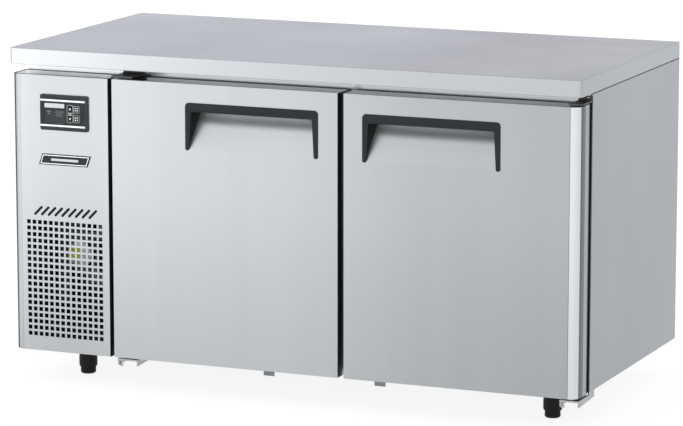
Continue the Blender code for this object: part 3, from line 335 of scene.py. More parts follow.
# The fan shroud: a darker copy of the galvanised sheet as painted shade, nearly black behind its front
# strip.
SHROUD = spangled(
    "shroud_painted_shade", (0.55, 0.57, 0.58), 0.42,
    marks=[(*PLACE, "Y", SHROUD_DEPTH, [(-0.5, 0.22), (-0.2235, 0.02)])],
)
FINS = metal("fin_aluminium", (0.62, 0.63, 0.64), 0.38)
COPPER = metal("copper_pipe", (0.72, 0.38, 0.25), 0.28)
PLATED = metal("plated_wire", (0.66, 0.67, 0.68), 0.22)
ZINC = metal("hinge_zinc", (0.070, 0.072, 0.075), 0.42)
BRACKET = metal("bracket_zinc", (0.40, 0.41, 0.42), 0.36)
# A darker copy of the galvanised sheet for the base panel: painted shade under the cabinet.
UNDERSIDE = spangled("underside_galvanised", (0.20, 0.225, 0.23), 0.5)
SCREW = metal("screw_steel", (0.50, 0.51, 0.52), 0.25)
ENAMEL = plastic("black_enamel", (0.014, 0.014, 0.015), 0.32, 500.0, 0.05)
RUBBER = plastic("gasket_rubber", (0.008, 0.008, 0.0085), 0.62, 700.0, 0.08)
BLACK = plastic("black_plastic", (0.006, 0.0065, 0.007), 0.5)
ROOF = plastic("grip_roof", (0.60, 0.61, 0.62), 0.5)
HANDLE = plastic("handle_plastic", (0.015, 0.0185, 0.021), 0.48, 1400.0, 0.16)
CASE = plastic("controller_plastic", (0.030, 0.034, 0.037), 0.45, 1400.0, 0.1)
KEY = plastic("key_rubber", (0.012, 0.013, 0.014), 0.5, 1400.0, 0.1)
WINDOW = plastic("window_smoke", (0.024, 0.027, 0.030), 0.12, 200.0, 0.01, 0.04)
GLOSS_BLACK = plastic("badge_gloss", (0.010, 0.010, 0.011), 0.14, 200.0, 0.02, 0.05)
WHITE_INK = plastic("white_ink", (0.80, 0.82, 0.83), 0.35, 900.0, 0.03, 0.03)
SILVER = metal("silver_trim", (0.82, 0.83, 0.84), 0.20)
DIM_INK = plastic("dim_ink", (0.13, 0.14, 0.15), 0.3, 900.0, 0.02, 0.05)
MEMBRANE = plastic("membrane", (0.020, 0.023, 0.025), 0.38, 1400.0, 0.08)
GREY_INK = plastic("grey_ink", (0.34, 0.36, 0.37), 0.4, 900.0, 0.03, 0.05)
SILVER_INK = plastic("silver_ink", (0.50, 0.53, 0.55), 0.35, 900.0, 0.03, 0.05)
LINER = plastic("liner_plastic", (0.74, 0.75, 0.74), 0.32, 400.0, 0.05, 0.02)
NYLON = plastic("nylon", (0.70, 0.69, 0.65), 0.45)
FOAM = plastic("foam", (0.70, 0.60, 0.36), 0.85, 120.0, 0.5)
LIME = plastic("lime_label", (0.56, 0.66, 0.03), 0.45, 600.0, 0.03, 0.05)
PAPER = plastic("label_paper", (0.70, 0.72, 0.74), 0.45, 600.0, 0.03, 0.03)

SLOT_MATERIALS = {
    "worktop_steel": WORKTOP,
    "door_steel": DOOR,
    "side_steel": SIDE,
    "frame_steel": FRAME_STEEL,
    "inner_steel": INNER,
    "galvanised": GALVANISED,
    "foam": FOAM,
    "controller_plastic": CASE,
    "window_plastic": WINDOW,
    "badge_black": GLOSS_BLACK,
    "black_enamel": ENAMEL,
    "fins": FINS,
    "copper": COPPER,
    "black_plastic": BLACK,
    "fan_plastic": BLACK,
    "shelf_wire": PLATED,
    "hinge_metal": ZINC,
    "nylon": NYLON,
    "liner_plastic": LINER,
    "gasket_rubber": RUBBER,
    "handle_plastic": HANDLE,
    "key_plastic": KEY,
}


def dress_nodes():
    """Gives every CAD node its procedural material, by its slot in the record."""
    for part in frame["record"]["subparts"]:
        obj = NODES[part["node"]]
        obj.data.materials.clear()
        obj.data.materials.append(SLOT_MATERIALS[part["material_slot"]])
    # The fan shroud and the base panel take darker copies of the galvanised sheet, as painted shade.
    NODES["fan_shroud"].data.materials[0] = SHROUD
    NODES["base_panel"].data.materials[0] = UNDERSIDE
    for side in ("left", "right"):
        NODES[f"hinge_bottom_{side}"].data.materials[0] = BRACKET


dress_nodes()


# ---------------------------------------------------------------- mesh building


def merge(bm, part, index=0):
    """Adds a finished part to a mesh under construction, with one of the piece's materials."""
    bmesh.ops.recalc_face_normals(part, faces=part.faces)
    for face in part.faces:
        face.material_index = index
    mesh = bpy.data.meshes.new("part")
    part.to_mesh(mesh)
    part.free()
    bm.from_mesh(mesh)
    bpy.data.meshes.remove(mesh)


def add_box(bm, low, high, radius=0.0, segments=2, index=0):
    part = bmesh.new()
    bmesh.ops.create_cube(part, size=1.0)
    bmesh.ops.scale(part, vec=Vector(high) - Vector(low), verts=part.verts)
    bmesh.ops.translate(part, vec=(Vector(high) + Vector(low)) / 2, verts=part.verts)
    if radius:
        bmesh.ops.bevel(
            part, geom=part.edges[:], offset=radius, segments=segments, profile=0.5, affect="EDGES"
        )
    merge(bm, part, index)


def add_slanted(bm, corners, offset, index=0):
    """A flat plate with any four corners; the offset is its thickness."""
    part = bmesh.new()
    front = [part.verts.new(corner) for corner in corners]
    back = [part.verts.new(Vector(corner) + offset) for corner in corners]
    part.faces.new(front)
    part.faces.new(back[::-1])
    for i in range(4):
        part.faces.new((front[i], back[i], back[i - 3], front[i - 3]))
    merge(bm, part, index)


def along(axis, centre, right, up, forward):
    """A point from its place across and along an axis."""
    offset = {
        "x": (forward, right, up),
        "y": (right, forward, up),
        "z": (right, up, forward),
    }[axis]
    return Vector(centre) + Vector(offset)


def add_lathe(bm, profile, centre, axis="z", steps=40, index=0):
    """Turns a profile of (radius, place along the axis) points about the axis."""
    part = bmesh.new()
    rings = []
    for radius, forward in profile:
        if radius < 1e-6:
            rings.append([part.verts.new(along(axis, centre, 0, 0, forward))])
        else:
            places = circle(centre, radius, axis, steps, forward)
            rings.append([part.verts.new(place) for place in places])
    for first, second in zip(rings, rings[1:]):
        for i in range(steps):
            corners = [first[i % len(first)], first[(i + 1) % len(first)]]
            corners += [second[(i + 1) % len(second)], second[i % len(second)]]
            part.faces.new(list(dict.fromkeys(corners)))
    for ring in (rings[0], rings[-1]):
        if len(ring) > 1:
            part.faces.new(ring)
    merge(bm, part, index)


def add_tube(bm, path, radius, sides=8, closed=False, index=0):
    """A round wire or pipe along a path."""
    part = bmesh.new()
    points = [Vector(p) for p in path]
    count = len(points)
    rings, normal = [], None
    for i, point in enumerate(points):
        if closed:
            before, after = points[i - 1], points[(i + 1) % count]
        else:
            before, after = points[max(i - 1, 0)], points[min(i + 1, count - 1)]
        tangent = (after - before).normalized()
        normal = tangent.orthogonal() if normal is None else normal - tangent * normal.dot(tangent)
        normal.normalize()
        side = tangent.cross(normal)
        ring = []
        for k in range(sides):
            turn = 2 * math.pi * k / sides
            spoke = math.cos(turn) * normal + math.sin(turn) * side
            ring.append(part.verts.new(point + radius * spoke))
        rings.append(ring)
    pairs = list(zip(rings, rings[1:]))
    if closed:
        pairs.append((rings[-1], rings[0]))
    for first, second in pairs:
        for k in range(sides):
            m = (k + 1) % sides
            part.faces.new((first[k], first[m], second[m], second[k]))
    if not closed:
        part.faces.new(rings[0])
        part.faces.new(rings[-1])
    merge(bm, part, index)


def circle(centre, radius, axis, steps, forward=0.0):
    """Points round an axis."""
    turns = [2 * math.pi * i / steps for i in range(steps)]
    return [along(axis, centre, radius * math.cos(a), radius * math.sin(a), forward) for a in turns]


PLANES = {
    "xz": Matrix(((1, 0, 0, 0), (0, 0, -1, 0), (0, 1, 0, 0), (0, 0, 0, 1))),
    "yz": Matrix(((0, 0, 1, 0), (1, 0, 0, 0), (0, 1, 0, 0), (0, 0, 0, 1))),
    "xy": Matrix.Identity(4),
}


def add_plate(bm, loops, plane, middle, thickness, edge=0.0, index=0):
    """A flat outline with holes, as a plate about the middle of its thickness, with rounded edges."""
    curve = bpy.data.curves.new("outline", "CURVE")
    curve.dimensions = "2D"
    curve.fill_mode = "BOTH"
    curve.extrude = thickness / 2 - edge
    curve.bevel_depth = edge
    curve.bevel_resolution = 1
    curve.offset = -edge
    for loop in loops:
        spline = curve.splines.new("POLY")
        spline.points.add(len(loop) - 1)
        for point, (a, b) in zip(spline.points, loop):
            point.co = (a, b, 0, 1)
        spline.use_cyclic_u = True
    source = bpy.data.objects.new("outline", curve)
    SCENE.collection.objects.link(source)
    bpy.context.view_layer.update()
    flat = source.evaluated_get(bpy.context.evaluated_depsgraph_get())
    mesh = bpy.data.meshes.new_from_object(flat)
    bpy.data.objects.remove(source, do_unlink=True)
    bpy.data.curves.remove(curve)
    part = bmesh.new()
    part.from_mesh(mesh)
    bpy.data.meshes.remove(mesh)
    bmesh.ops.remove_doubles(part, verts=part.verts, dist=0.00001)
    part.transform(Matrix.Translation(middle) @ PLANES[plane])
    merge(bm, part, index)


def arc(x, z, across, up, angles):
    """Points of an ellipse in a plane, at angles in degrees."""
    turns = [math.radians(a) for a in angles]
    return [(x + across * math.cos(a), z + up * math.sin(a)) for a in turns]


def rounded(x0, x1, y0, y1, radius, steps=5):
    """The outline of a rectangle with round corners."""
    points = []
    corners = ((x1, y1, 0), (x0, y1, 90), (x0, y0, 180), (x1, y0, 270))
    for x, y, start in corners:
        cx = x - radius if x == x1 else x + radius
        cy = y - radius if y == y1 else y + radius
        points += arc(cx, cy, radius, radius, [start + 90 * i / steps for i in range(steps + 1)])
    return points


def frame_loops(x0, x1, y0, y1, radius, stroke):
    """The two outlines of a rounded rectangular line."""
    inner = max(radius - stroke, 0.0001)
    outline = rounded(x0, x1, y0, y1, radius)
    return [outline, rounded(x0 + stroke, x1 - stroke, y0 + stroke, y1 - stroke, inner)]


def piece(name, bm, materials, body, sharp=35):
    """A finished piece, riding on its body."""
    mesh = bpy.data.meshes.new(name)
    bm.to_mesh(mesh)
    bm.free()
    for material in materials if isinstance(materials, list) else [materials]:
        mesh.materials.append(material)
    mesh.shade_smooth()
    mesh.set_sharp_from_angle(angle=math.radians(sharp))
    obj = bpy.data.objects.new(name, mesh)
    SCENE.collection.objects.link(obj)
    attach(obj, body)
    return obj


def add_screw(bm, place, toward, radius=0.0042, index=0, dark=1):
    """A pan head with a dark cross as painted shade for its recess, facing along toward, which is an axis
    and a sign.
    """
    axis, direction = toward
    height = radius * 0.42
    profile = [(0.0, height), (radius * 0.5, height * 0.96), (radius * 0.85, height * 0.6), (radius, 0.0)]
    add_lathe(bm, [(r, h * direction) for r, h in profile], place, axis, 20, index)
    slot_w, slot_l = radius * 0.14, radius * 0.55
    for right, up in ((slot_l, slot_w), (slot_w, slot_l)):
        low = along(axis, place, -right, -up, height * 0.9 * direction)
        high = along(axis, place, right, up, height * 1.03 * direction)
        corners = [[min(a, b), max(a, b)] for a, b in zip(low, high)]
        add_box(bm, [c[0] for c in corners], [c[1] for c in corners], index=dark)


# ---------------------------------------------------------------- doors

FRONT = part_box("machine_panel")[0].y
FRAME_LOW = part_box("front_frame")[0]
GAP = 0.3 * MM
STRIP_DEEP = 26 * MM


def make_handle(side):
    """The moulded grip: an inverted U on the door's face, with cheeks and a ribbed roof in the pocket."""
    node = f"door_{side}_handle"
    low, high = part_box(node)
    corner, bar, foot_w, top_w, wall = 10 * MM, 22.5 * MM, 11 * MM, 15.5 * MM, 2 * MM
    inset, fillet = 6.3 * MM, 4 * MM
    half = (high.x - low.x) / 2
    centre = (high.x + low.x) / 2
    toe, toe_up = foot_w / 2, foot_w / 2 * 0.9
    edge = arc(half - corner, high.z - corner, corner, corner, range(90, -1, -10))
    edge += arc(half - toe, low.z + toe_up, toe, -toe_up, range(0, 91, 15))
    edge += arc(half - foot_w + toe, low.z + toe_up, -toe, -toe_up, range(75, -1, -15))
    edge += arc(half - top_w - fillet, high.z - bar - fillet, fillet, fillet, range(0, 91, 15))
    outline = edge + [(-x, z) for x, z in reversed(edge)]
    bm = bmesh.new()
    proud = FRONT - GAP - low.y
    add_plate(bm, [outline], "xz", (centre, low.y + proud / 2, 0), proud, 1.0 * MM)
    roof = high.z - inset
    deep = high.y
    mouth = FRONT + 1 * MM
    foot = low.z + 12 * MM
    slope = (roof - foot - 4 * MM) / (deep - FRONT)
    # The cheeks and the plates beside them use the darker black plastic as painted shade; they are of the
    # grip's own plastic.
    for x in (low.x + inset + wall / 2, high.x - inset - wall / 2):
        cheek = [
            (FRONT - 1.5 * MM, foot),
            (mouth, foot),
            (deep, foot + (deep - mouth) * slope * 0.985),
            (deep, roof),
            (FRONT - 1.5 * MM, roof),
        ]
        add_plate(bm, [cheek], "yz", (x, 0, 0), wall, 0.4 * MM, 1)
        inward = 1 if x < centre else -1
        face = x + inward * wall / 2
        reach = face + inward * 16.5 * MM
        end = deep - 0.4 * MM
        slanted = [
            (face, mouth, foot + 2 * MM), (face, mouth, roof),
            (reach, end, roof), (reach, end, roof - 4 * MM),
        ]
        add_slanted(bm, slanted, Vector((-inward * 1.5 * MM, 0, 0)), 1)
    left, right = low.x + inset + 0.4 * MM, high.x - inset - 0.4 * MM
    # Each from y, z to y, z, with its edge, the edge's steps and its material.
    boxes = [
        (FRONT - 1.4 * MM, roof - 2 * MM, deep - 0.5 * MM, roof - 0.2 * MM, 0.5 * MM, 1, 2),
        (FRONT - 1.3 * MM, high.z - bar + 0.5 * MM, FRONT + 9 * MM, roof - 1 * MM, 3 * MM, 4, 0),
    ]
    ribs = [FRONT + (14 + 7 * i) * MM for i in range(5)]
    boxes += [(y, roof - 5 * MM, y + 1.4 * MM, roof - 1.5 * MM, 0.4 * MM, 1, 2) for y in ribs]
    for y0, z0, y1, z1, radius, steps, index in boxes:
        add_box(bm, (left, y0, z0), (right, y1, z1), radius, steps, index)
    obj = piece(f"handle_{side}", bm, [HANDLE, BLACK, ROOF], f"door_{side}")
    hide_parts(node)


def make_gasket(side):
    """A magnetic gasket: a soft bellows with a flat face, mitred at its corners."""
    node = f"door_{side}_gasket"
    low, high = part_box(node)
    deep = high.y - low.y
    profile = [
        (1.5, 0.0), (14.5, 0.0), (14.5, 0.22), (12.2, 0.30), (12.2, 0.42), (15.2, 0.50), (16.0, 0.62),
        (16.0, 0.86), (14.8, 1.0), (9.0, 0.97), (8.0, 0.92), (7.0, 0.97), (1.2, 1.0), (0.0, 0.86),
        (0.0, 0.62), (0.8, 0.50), (3.8, 0.42), (3.8, 0.30), (1.5, 0.22),
    ]
    bm = bmesh.new()
    loops = []
    for inset, share in profile:
        u, y = inset * MM, low.y + deep * share
        x0, x1, z0, z1 = low.x + u, high.x - u, low.z + u, high.z - u
        corners = ((x0, z0), (x1, z0), (x1, z1), (x0, z1))
        loops.append([bm.verts.new((x, y, z)) for x, z in corners])
    for first, second in zip(loops, loops[1:] + loops[:1]):
        for i in range(4):
            k = (i + 1) % 4
            bm.faces.new((first[i], first[k], second[k], second[i]))
    bmesh.ops.recalc_face_normals(bm, faces=bm.faces)
    obj = piece(f"gasket_{side}", bm, RUBBER, f"door_{side}", 25)
    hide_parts(node)


def gap_shade_strip(name, x, low, high, body):
    """A dark plastic strip, 1 mm thick, up one side of a door or panel, as painted shade in the gap beside
    it.
    """
    bm = bmesh.new()
    foot, head = (x, low.y + 3 * MM, low.z + 1 * MM), (x + 1 * MM, low.y + STRIP_DEEP, high.z - 1 * MM)
    add_box(bm, foot, head, 0.3 * MM)
    piece(name, bm, BLACK, body)


def make_door_gap_shade(side):
    """The painted-shade strip up the door's free side, just clear of its sheet."""
    low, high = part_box(f"door_{side}_skin")
    x = high.x + 0.1 * MM if side == "left" else low.x - 1.1 * MM
    gap_shade_strip(f"door_edge_strip_{side}", x, low, high, f"door_{side}")


def make_rear_gap_shade():
    """Dark strips along the doors' upper rear edges, and down the right door's hinge side, as painted
    shadow in the gaps there.
    """
    for side in ("left", "right"):
        low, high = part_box(f"door_{side}_skin")
        bm = bmesh.new()
        start = (low.x + 2 * MM, high.y - 1.8 * MM, high.z - 0.2 * MM)
        end = (high.x - 2 * MM, high.y + 1.5 * MM, high.z + 0.5 * MM)
        add_box(bm, start, end, 0.2 * MM)
        if side == "right":
            start = (high.x - 4 * MM, high.y - 0.2 * MM, low.z + 1 * MM)
            end = (high.x - 0.3 * MM, FRAME_LOW.y - 2.0 * MM, high.z - 1 * MM)
            add_box(bm, start, end, 0.3 * MM)
        piece(f"door_rear_gap_shade_{side}", bm, RUBBER, f"door_{side}")


def make_panel_gap_shade_and_beads():
    """The same painted-shade strip on the machine panel's side towards the door, and two beads along its
    top.
    """
    low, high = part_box("machine_panel")
    gap_shade_strip("machine_panel_edge_strip", high.x + 0.1 * MM, low, high, "cabinet")
    bm = bmesh.new()
    left, right, top = low.x + 6 * MM, high.x - 1 * MM, high.z
    front_bead = (low.y + 1.0 * MM, low.y + 5.0 * MM)
    rear_bead = (FRAME_LOW.y - 7.0 * MM, FRAME_LOW.y - 1.0 * MM)
    for front, back in (front_bead, rear_bead):
        add_box(bm, (left, front, top - 0.2 * MM), (right, back, top + 0.5 * MM), 0.2 * MM)
    piece("machine_panel_top_beads", bm, RUBBER, "cabinet")


# ---------------------------------------------------------------- controller and badge


class Face:
    """Places on the controller's face, right of and below its upper left corner, in millimetres."""

    low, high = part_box("controller_bezel")

    @classmethod
    def x(cls, right):
        return cls.low.x + right * MM

    @classmethod
    def z(cls, down):
        return cls.high.z - down * MM

    @classmethod
    def points(cls, *places):
        return [(cls.x(right), cls.z(down)) for right, down in places]

    @classmethod
    def bar(cls, x0, x1, top, bottom, radius):
        return rounded(cls.x(x0), cls.x(x1), cls.z(bottom), cls.z(top), radius * MM)

    @classmethod
    def line(cls, x0, x1, top, bottom, radius, stroke):
        return frame_loops(cls.x(x0), cls.x(x1), cls.z(bottom), cls.z(top), radius * MM, stroke * MM)


def print_on(name, shapes, back, thick, material, body="cabinet", slot="controller_plastic"):
    """A thin raised print; each shape is a list of outlines."""
    bm = bmesh.new()
    for loops in shapes:
        add_plate(bm, loops, "xz", (0, back - thick / 2, 0), thick)
    return piece(name, bm, material, body)


def segments(x, z, width, height, stroke):
    """The seven bars of a digit, as outlines."""
    half, tip, thin = height / 2, stroke * 0.55, stroke / 2

    def bar(length):
        flat = length - stroke
        return [(tip, 0), (stroke, thin), (flat, thin), (length - tip, 0), (flat, -thin), (stroke, -thin)]

    found = [[(x + a, z + level + b) for a, b in bar(width)] for level in (0, half, height)]
    for side in (0, width):
        found += [[(x + side + b, z + level + a) for a, b in bar(half)] for level in (0, half)]
    return found


def squares(right, down, size, step):
    """Four little squares, two by two, about a place on the face."""
    found = []
    for dx in (-0.5, 0.5):
        for dz in (-0.5, 0.5):
            cx, cz = right + dx * step[0], down + dz * step[1]
            found.append([Face.bar(cx - size / 2, cx + size / 2, cz - size / 2, cz + size / 2, 0.5)])
    return found


def make_controller():
    """The controller's membrane, strips, outlines, dim display and key marks, without lettering."""
    front = Face.low.y
    width = (Face.high.x - Face.low.x) / MM
    height = (Face.high.z - Face.low.z) / MM
    keys = {name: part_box(name) for name in ("key_up", "key_down", "key_set", "key_power")}
    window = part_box("display_window")
    holes = [rounded(a.x - GAP, b.x + GAP, a.z - GAP, b.z + GAP, 2 * MM) for a, b in keys.values()]
    holes.append(rounded(window[0].x, window[1].x, window[0].z, window[1].z, 1 * MM))
    membrane = Face.bar(1.6, width - 7.2, 17.2, height - 15.2, 1.2)
    print_on("controller_membrane", [[membrane] + holes], front, 0.35 * MM, MEMBRANE)
    skin = front - 0.35 * MM
    strips = [[Face.bar(0.4, width - 7.0, top, top + 4.4, 1.0)] for top in (11.8, height - 14.2)]
    print_on("controller_strips", strips, front, 0.6 * MM, WHITE_INK)
    sweep = [(right, 5.5) for right in range(8, 118, 5)] + [(right, 8.5) for right in range(113, 7, -5)]
    arch = Face.points(*((right, 2 + sag * math.sin(math.pi * right / width)) for right, sag in sweep))
    print_on("controller_arch", [[arch]], front, 0.15 * MM, GLOSS_BLACK)
    nameplate = Face.bar(12.5, 67.5, 21.5, 32.5, 2.0)
    print_on("controller_nameplate", [[nameplate]], skin, 0.25 * MM, SILVER_INK)
    outlines = [
        Face.line(74.6, 91.8, 23.2, 67.6, 3.5, 1.1),
        Face.line(92.2, 108.8, 24.8, 42.6, 3.0, 1.1),
        Face.line(92.2, 108.8, 48.4, 66.4, 3.0, 1.1),
    ]
    print_on("key_outlines", outlines, skin, 0.2 * MM, GREY_INK)
    print_on("key_column_marks", squares(83.2, 46.0, 2.6, (5.2, 4.4)), skin, 0.2 * MM, WHITE_INK)
    dots = [[Face.bar(x, x + 1.6, 69.2, 71.2, 0.7)] for x in (38, 45, 49, 55, 61)]
    print_on("icon_row", dots, skin, 0.2 * MM, DIM_INK)
    digits = []
    for x in (44.0, 54.0):
        digits += [[loop] for loop in segments(Face.x(x), Face.z(53.5), 6.0 * MM, 13.5 * MM, 1.7 * MM)]
    digits.append(Face.line(62.6, 65.4, 40.0, 42.8, 1.3, 0.7))
    digits += [[Face.bar(18, 30, 41.0, 43.2, 1.0)], [Face.bar(21, 28, 46.5, 48.5, 0.9)]]
    print_on("display_segments", digits, window[0].y, 0.1 * MM, DIM_INK, slot="window_plastic")
    marks = {
        "key_up": Face.points((83.2, 29.8), (80.6, 35.6), (85.8, 35.6)),
        "key_down": Face.points((83.2, 61.6), (85.8, 55.8), (80.6, 55.8)),
    }
    for name, (low, high) in keys.items():
        if name in marks:
            shapes = [[marks[name]]]
        else:
            down = (Face.high.z - (low.z + high.z) / 2) / MM
            shapes = squares(100.5, down, 2.8, (5.4, 5.6))
        print_on(f"{name}_mark", shapes, low.y, 0.12 * MM, WHITE_INK, name, "key_plastic")


def make_badge():
    """A blank nameplate: a plain light line round a dark field, with a plain bar."""
    low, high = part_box("badge_plate")
    lean = 9.5 * MM
    badge = {"slot": "badge_black"}

    def slanted(inset_x, inset_z):
        rise = lean * inset_z / (high.z - low.z)
        return [
            (low.x + inset_x + rise, low.z + inset_z),
            (high.x - lean - inset_x + rise, low.z + inset_z),
            (high.x - inset_x - rise, high.z - inset_z),
            (low.x + lean + inset_x - rise, high.z - inset_z),
        ]

    line = [slanted(3.4 * MM, 2.6 * MM), slanted(5.0 * MM, 4.2 * MM)]
    print_on("badge_line", [line], low.y, 0.3 * MM, SILVER, **badge)
    print_on("badge_field", [[slanted(5.6 * MM, 4.8 * MM)]], low.y, 0.15 * MM, MEMBRANE, **badge)
    middle = (low.z + high.z) / 2
    bar = rounded(low.x + 34 * MM, high.x - 34 * MM, middle - 3 * MM, middle + 3 * MM, 1.5 * MM)
    print_on("badge_bar", [[bar]], low.y - 0.15 * MM, 0.2 * MM, SILVER_INK, **badge)


# ---------------------------------------------------------------- legs and hinges


def add_flutes(bm, centre, radius, count, low, high, thick):
    """Upright ribs in a ring."""
    for x, y, _ in circle(centre, radius, "z", count):
        add_tube(bm, [(x, y, low), (x, y, high)], thick, 6)


def make_leg(corner):
    """A black plastic leg: a plain socket over a fluted levelling foot."""
    low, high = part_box(f"leg_{corner}")
    centre = ((low.x + high.x) / 2, (low.y + high.y) / 2, 0)
    outer = (high.x - low.x) / 2
    foot_low, foot_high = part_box(f"foot_{corner}")
    foot_r = (foot_high.x - foot_low.x) / 2
    tall = high.z - low.z
    bm = bmesh.new()
    profile = [
        (foot_r * 0.55, low.z + 0.5 * MM), (outer * 0.905, low.z), (outer * 0.93, low.z + 1.2 * MM),
        (outer * 0.955, low.z + tall * 0.45), (outer * 0.99, high.z - 9 * MM), (outer, high.z - 8 * MM),
        (outer, high.z - 1 * MM), (outer - 1 * MM, high.z),
    ]
    add_lathe(bm, profile, centre, "z", 56)
    add_flutes(bm, centre, outer * 0.935, 16, low.z + 3 * MM, low.z + tall * 0.36, 0.8 * MM)
    leg = piece(f"leg_socket_{corner}", bm, BLACK, "cabinet")
    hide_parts(f"leg_{corner}")
    bm = bmesh.new()
    top = low.z - GAP
    profile = [
        (0.0, 0.0), (foot_r - 3 * MM, 0.0), (foot_r, 3 * MM), (foot_r, top * 0.52),
        (foot_r * 0.965, top * 0.56), (foot_r * 0.965, top - 1 * MM), (foot_r - 2 * MM, top),
        (foot_r * 0.42, top), (foot_r * 0.42, foot_high.z), (0.0, foot_high.z),
    ]
    add_lathe(bm, profile, centre, "z", 56)
    add_flutes(bm, centre, foot_r * 0.955, 12, top * 0.6, top - 1.4 * MM, 0.9 * MM)
    foot = piece(f"levelling_foot_{corner}", bm, BLACK, f"foot_{corner}")
    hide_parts(f"foot_{corner}")


# Each cartridge from x to x; behind the door's face from y to y, its height and its edge, in mm.
CARTRIDGES = {"left": (-0.4420, -0.3900, 3, 34, 2.6, 0.8), "right": (0.7165, 0.7435, 12, 44, 1.6, 0.6)}
KNOB = [(0.0, -6.5), (3.6, -6.0), (4.4, -4.6), (4.4, -1), (2.4, 0.0), (2.4, 6)]
HINGE_SCREWS = {"left": 3, "right": 2}


def make_hinge_details():
    """Screws and knobs on the brackets, and the dark cartridge that each upper pin enters."""
    for side in ("left", "right"):
        low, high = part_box(f"hinge_top_{side}")
        bm = bmesh.new()
        count = HINGE_SCREWS[side]
        for i in range(count):
            x = low.x + (high.x - low.x) * (i + 0.5) / count
            add_screw(bm, (x, high.y - 4.2 * MM, high.z - 4.2 * MM), ("y", -1), 3.2 * MM)
        piece(f"hinge_screws_{side}", bm, [SCREW, BLACK], "cabinet")
        low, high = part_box(f"hinge_bottom_{side}")
        bm = bmesh.new()
        place = (low.x + 4 * MM, low.y + 14 * MM, low.z + 1 * MM)
        add_lathe(bm, [(radius * MM, z * MM) for radius, z in KNOB], place, "z", 24)
        piece(f"hinge_knob_{side}", bm, SCREW, "cabinet")
        door_low, door_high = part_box(f"door_{side}_skin")
        face, top = door_low.y, door_high.z
        x0, x1, y0, y1, tall, edge = CARTRIDGES[side]
        bm = bmesh.new()
        add_box(bm, (x0, face + y0 * MM, top), (x1, face + y1 * MM, top + tall * MM), edge * MM)
        piece(f"hinge_cartridge_{side}", bm, BLACK, f"door_{side}")


# ---------------------------------------------------------------- machine compartment and back

SLOT_COUNT, SLOT_FIRST, SLOT_STEP, SLOT_TALL, SLOT_SLANT = 9, -0.6872, 0.0189, (0.433, 0.453), 0.0188


def make_slot_shade_plates():
    """Black plates with round ends that fill the slanted slots, as painted shade for their dark openings.
    """
    bm = bmesh.new()
    radius = 3.3 * MM
    low_z, high_z = SLOT_TALL[0] + 1.2 * MM, SLOT_TALL[1] - 1.2 * MM
    lean = math.degrees(math.atan2(high_z - low_z, SLOT_SLANT))
    for i in range(SLOT_COUNT):
        x = SLOT_FIRST + SLOT_STEP * i + 0.6 * MM
        outline = []
        for cx, cz, start in ((x + SLOT_SLANT - 1.2 * MM, high_z, lean - 90), (x, low_z, lean + 90)):
            outline += arc(cx, cz, radius, radius, [start + 22.5 * k for k in range(9)])
        add_plate(bm, [outline], "xz", (0, FRONT - 0.1 * MM, 0), 0.6 * MM, 0.15 * MM)
    piece("slot_shade_plates", bm, BLACK, "cabinet")


def make_fan_details():
    """The motor's end cap with its screws, and its plain labels."""
    low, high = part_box("condenser_fan_motor")
    cx, cz = (low.x + high.x) / 2, (low.z + high.z) / 2
    radius = (high.x - low.x) / 2
    face = low.y
    bm = bmesh.new()
    profile = [
        (0.0, -2.2 * MM), (radius * 0.5, -2.2 * MM), (radius * 0.86, -1.2 * MM),
        (radius * 0.93, 0.0), (0.0, 0.0),
    ]
    add_lathe(bm, profile, (cx, face, cz), "y", 48)
    for x, z in arc(cx, cz, radius * 0.76, radius * 0.76, (45, 135, 225, 315)):
        add_screw(bm, (x, face - 1.4 * MM, z), ("y", -1), 2.4 * MM)
    piece("fan_motor_cap", bm, [GALVANISED, BLACK], "cabinet")
    label = rounded(cx + 11 * MM, cx + 29 * MM, cz - 20 * MM, cz + 18 * MM, 1.5 * MM)
    rating = rounded(cx - 30 * MM, cx + 10 * MM, cz - 14 * MM, cz + 20 * MM, 1.5 * MM)
    glued, thick = face - 2.3 * MM, 0.4 * MM
    print_on("fan_motor_label", [[label]], glued, thick, PAPER, slot="nylon")
    print_on("fan_motor_rating_label", [[rating]], glued, thick, LIME, slot="nylon")


def make_condenser_details():
    """Fins across the coil's faces, and the copper bends at its end."""
    low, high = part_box("condenser_coil")
    bm = bmesh.new()
    count = 44
    for i in range(count):
        z = low.z + 8 * MM + (high.z - low.z - 16 * MM) * i / (count - 1)
        for y in (low.y + 3 * MM, high.y - 3 * MM):
            start = (low.x + 6 * MM, y - 2.4 * MM, z - 0.2 * MM)
            add_box(bm, start, (high.x - 6 * MM, y + 2.4 * MM, z + 0.2 * MM))
    piece("condenser_fins", bm, FINS, "cabinet")
    bm = bmesh.new()
    start, reach, y, rise = high.x - 2 * MM, high.x + 3 * MM, low.y + 18 * MM, 8 * MM
    for i in range(9):
        z = low.z + 24 * MM + i * 34 * MM
        bend = arc(z + rise, reach, -rise, 7 * MM, range(0, 181, 20))
        path = [(start, y, z)] + [(x, y, up) for up, x in bend] + [(start, y, z + 2 * rise)]
        add_tube(bm, path, 3.5 * MM, 10)
    piece("condenser_bends", bm, COPPER, "cabinet")


def make_compressor_details():
    """The ribs of the compressor's terminal cover."""
    low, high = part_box("compressor")
    centre, half = (low.x + high.x) / 2, 31.5 * MM
    bm = bmesh.new()
    for i in range(6):
        z = low.z + (88 + 11 * i) * MM
        start, end = (centre - half, low.y - 1.2 * MM, z), (centre + half, low.y + 2 * MM, z + 2.2 * MM)
        add_box(bm, start, end, 0.6 * MM)
    piece("terminal_cover_ribs", bm, BLACK, "cabinet")


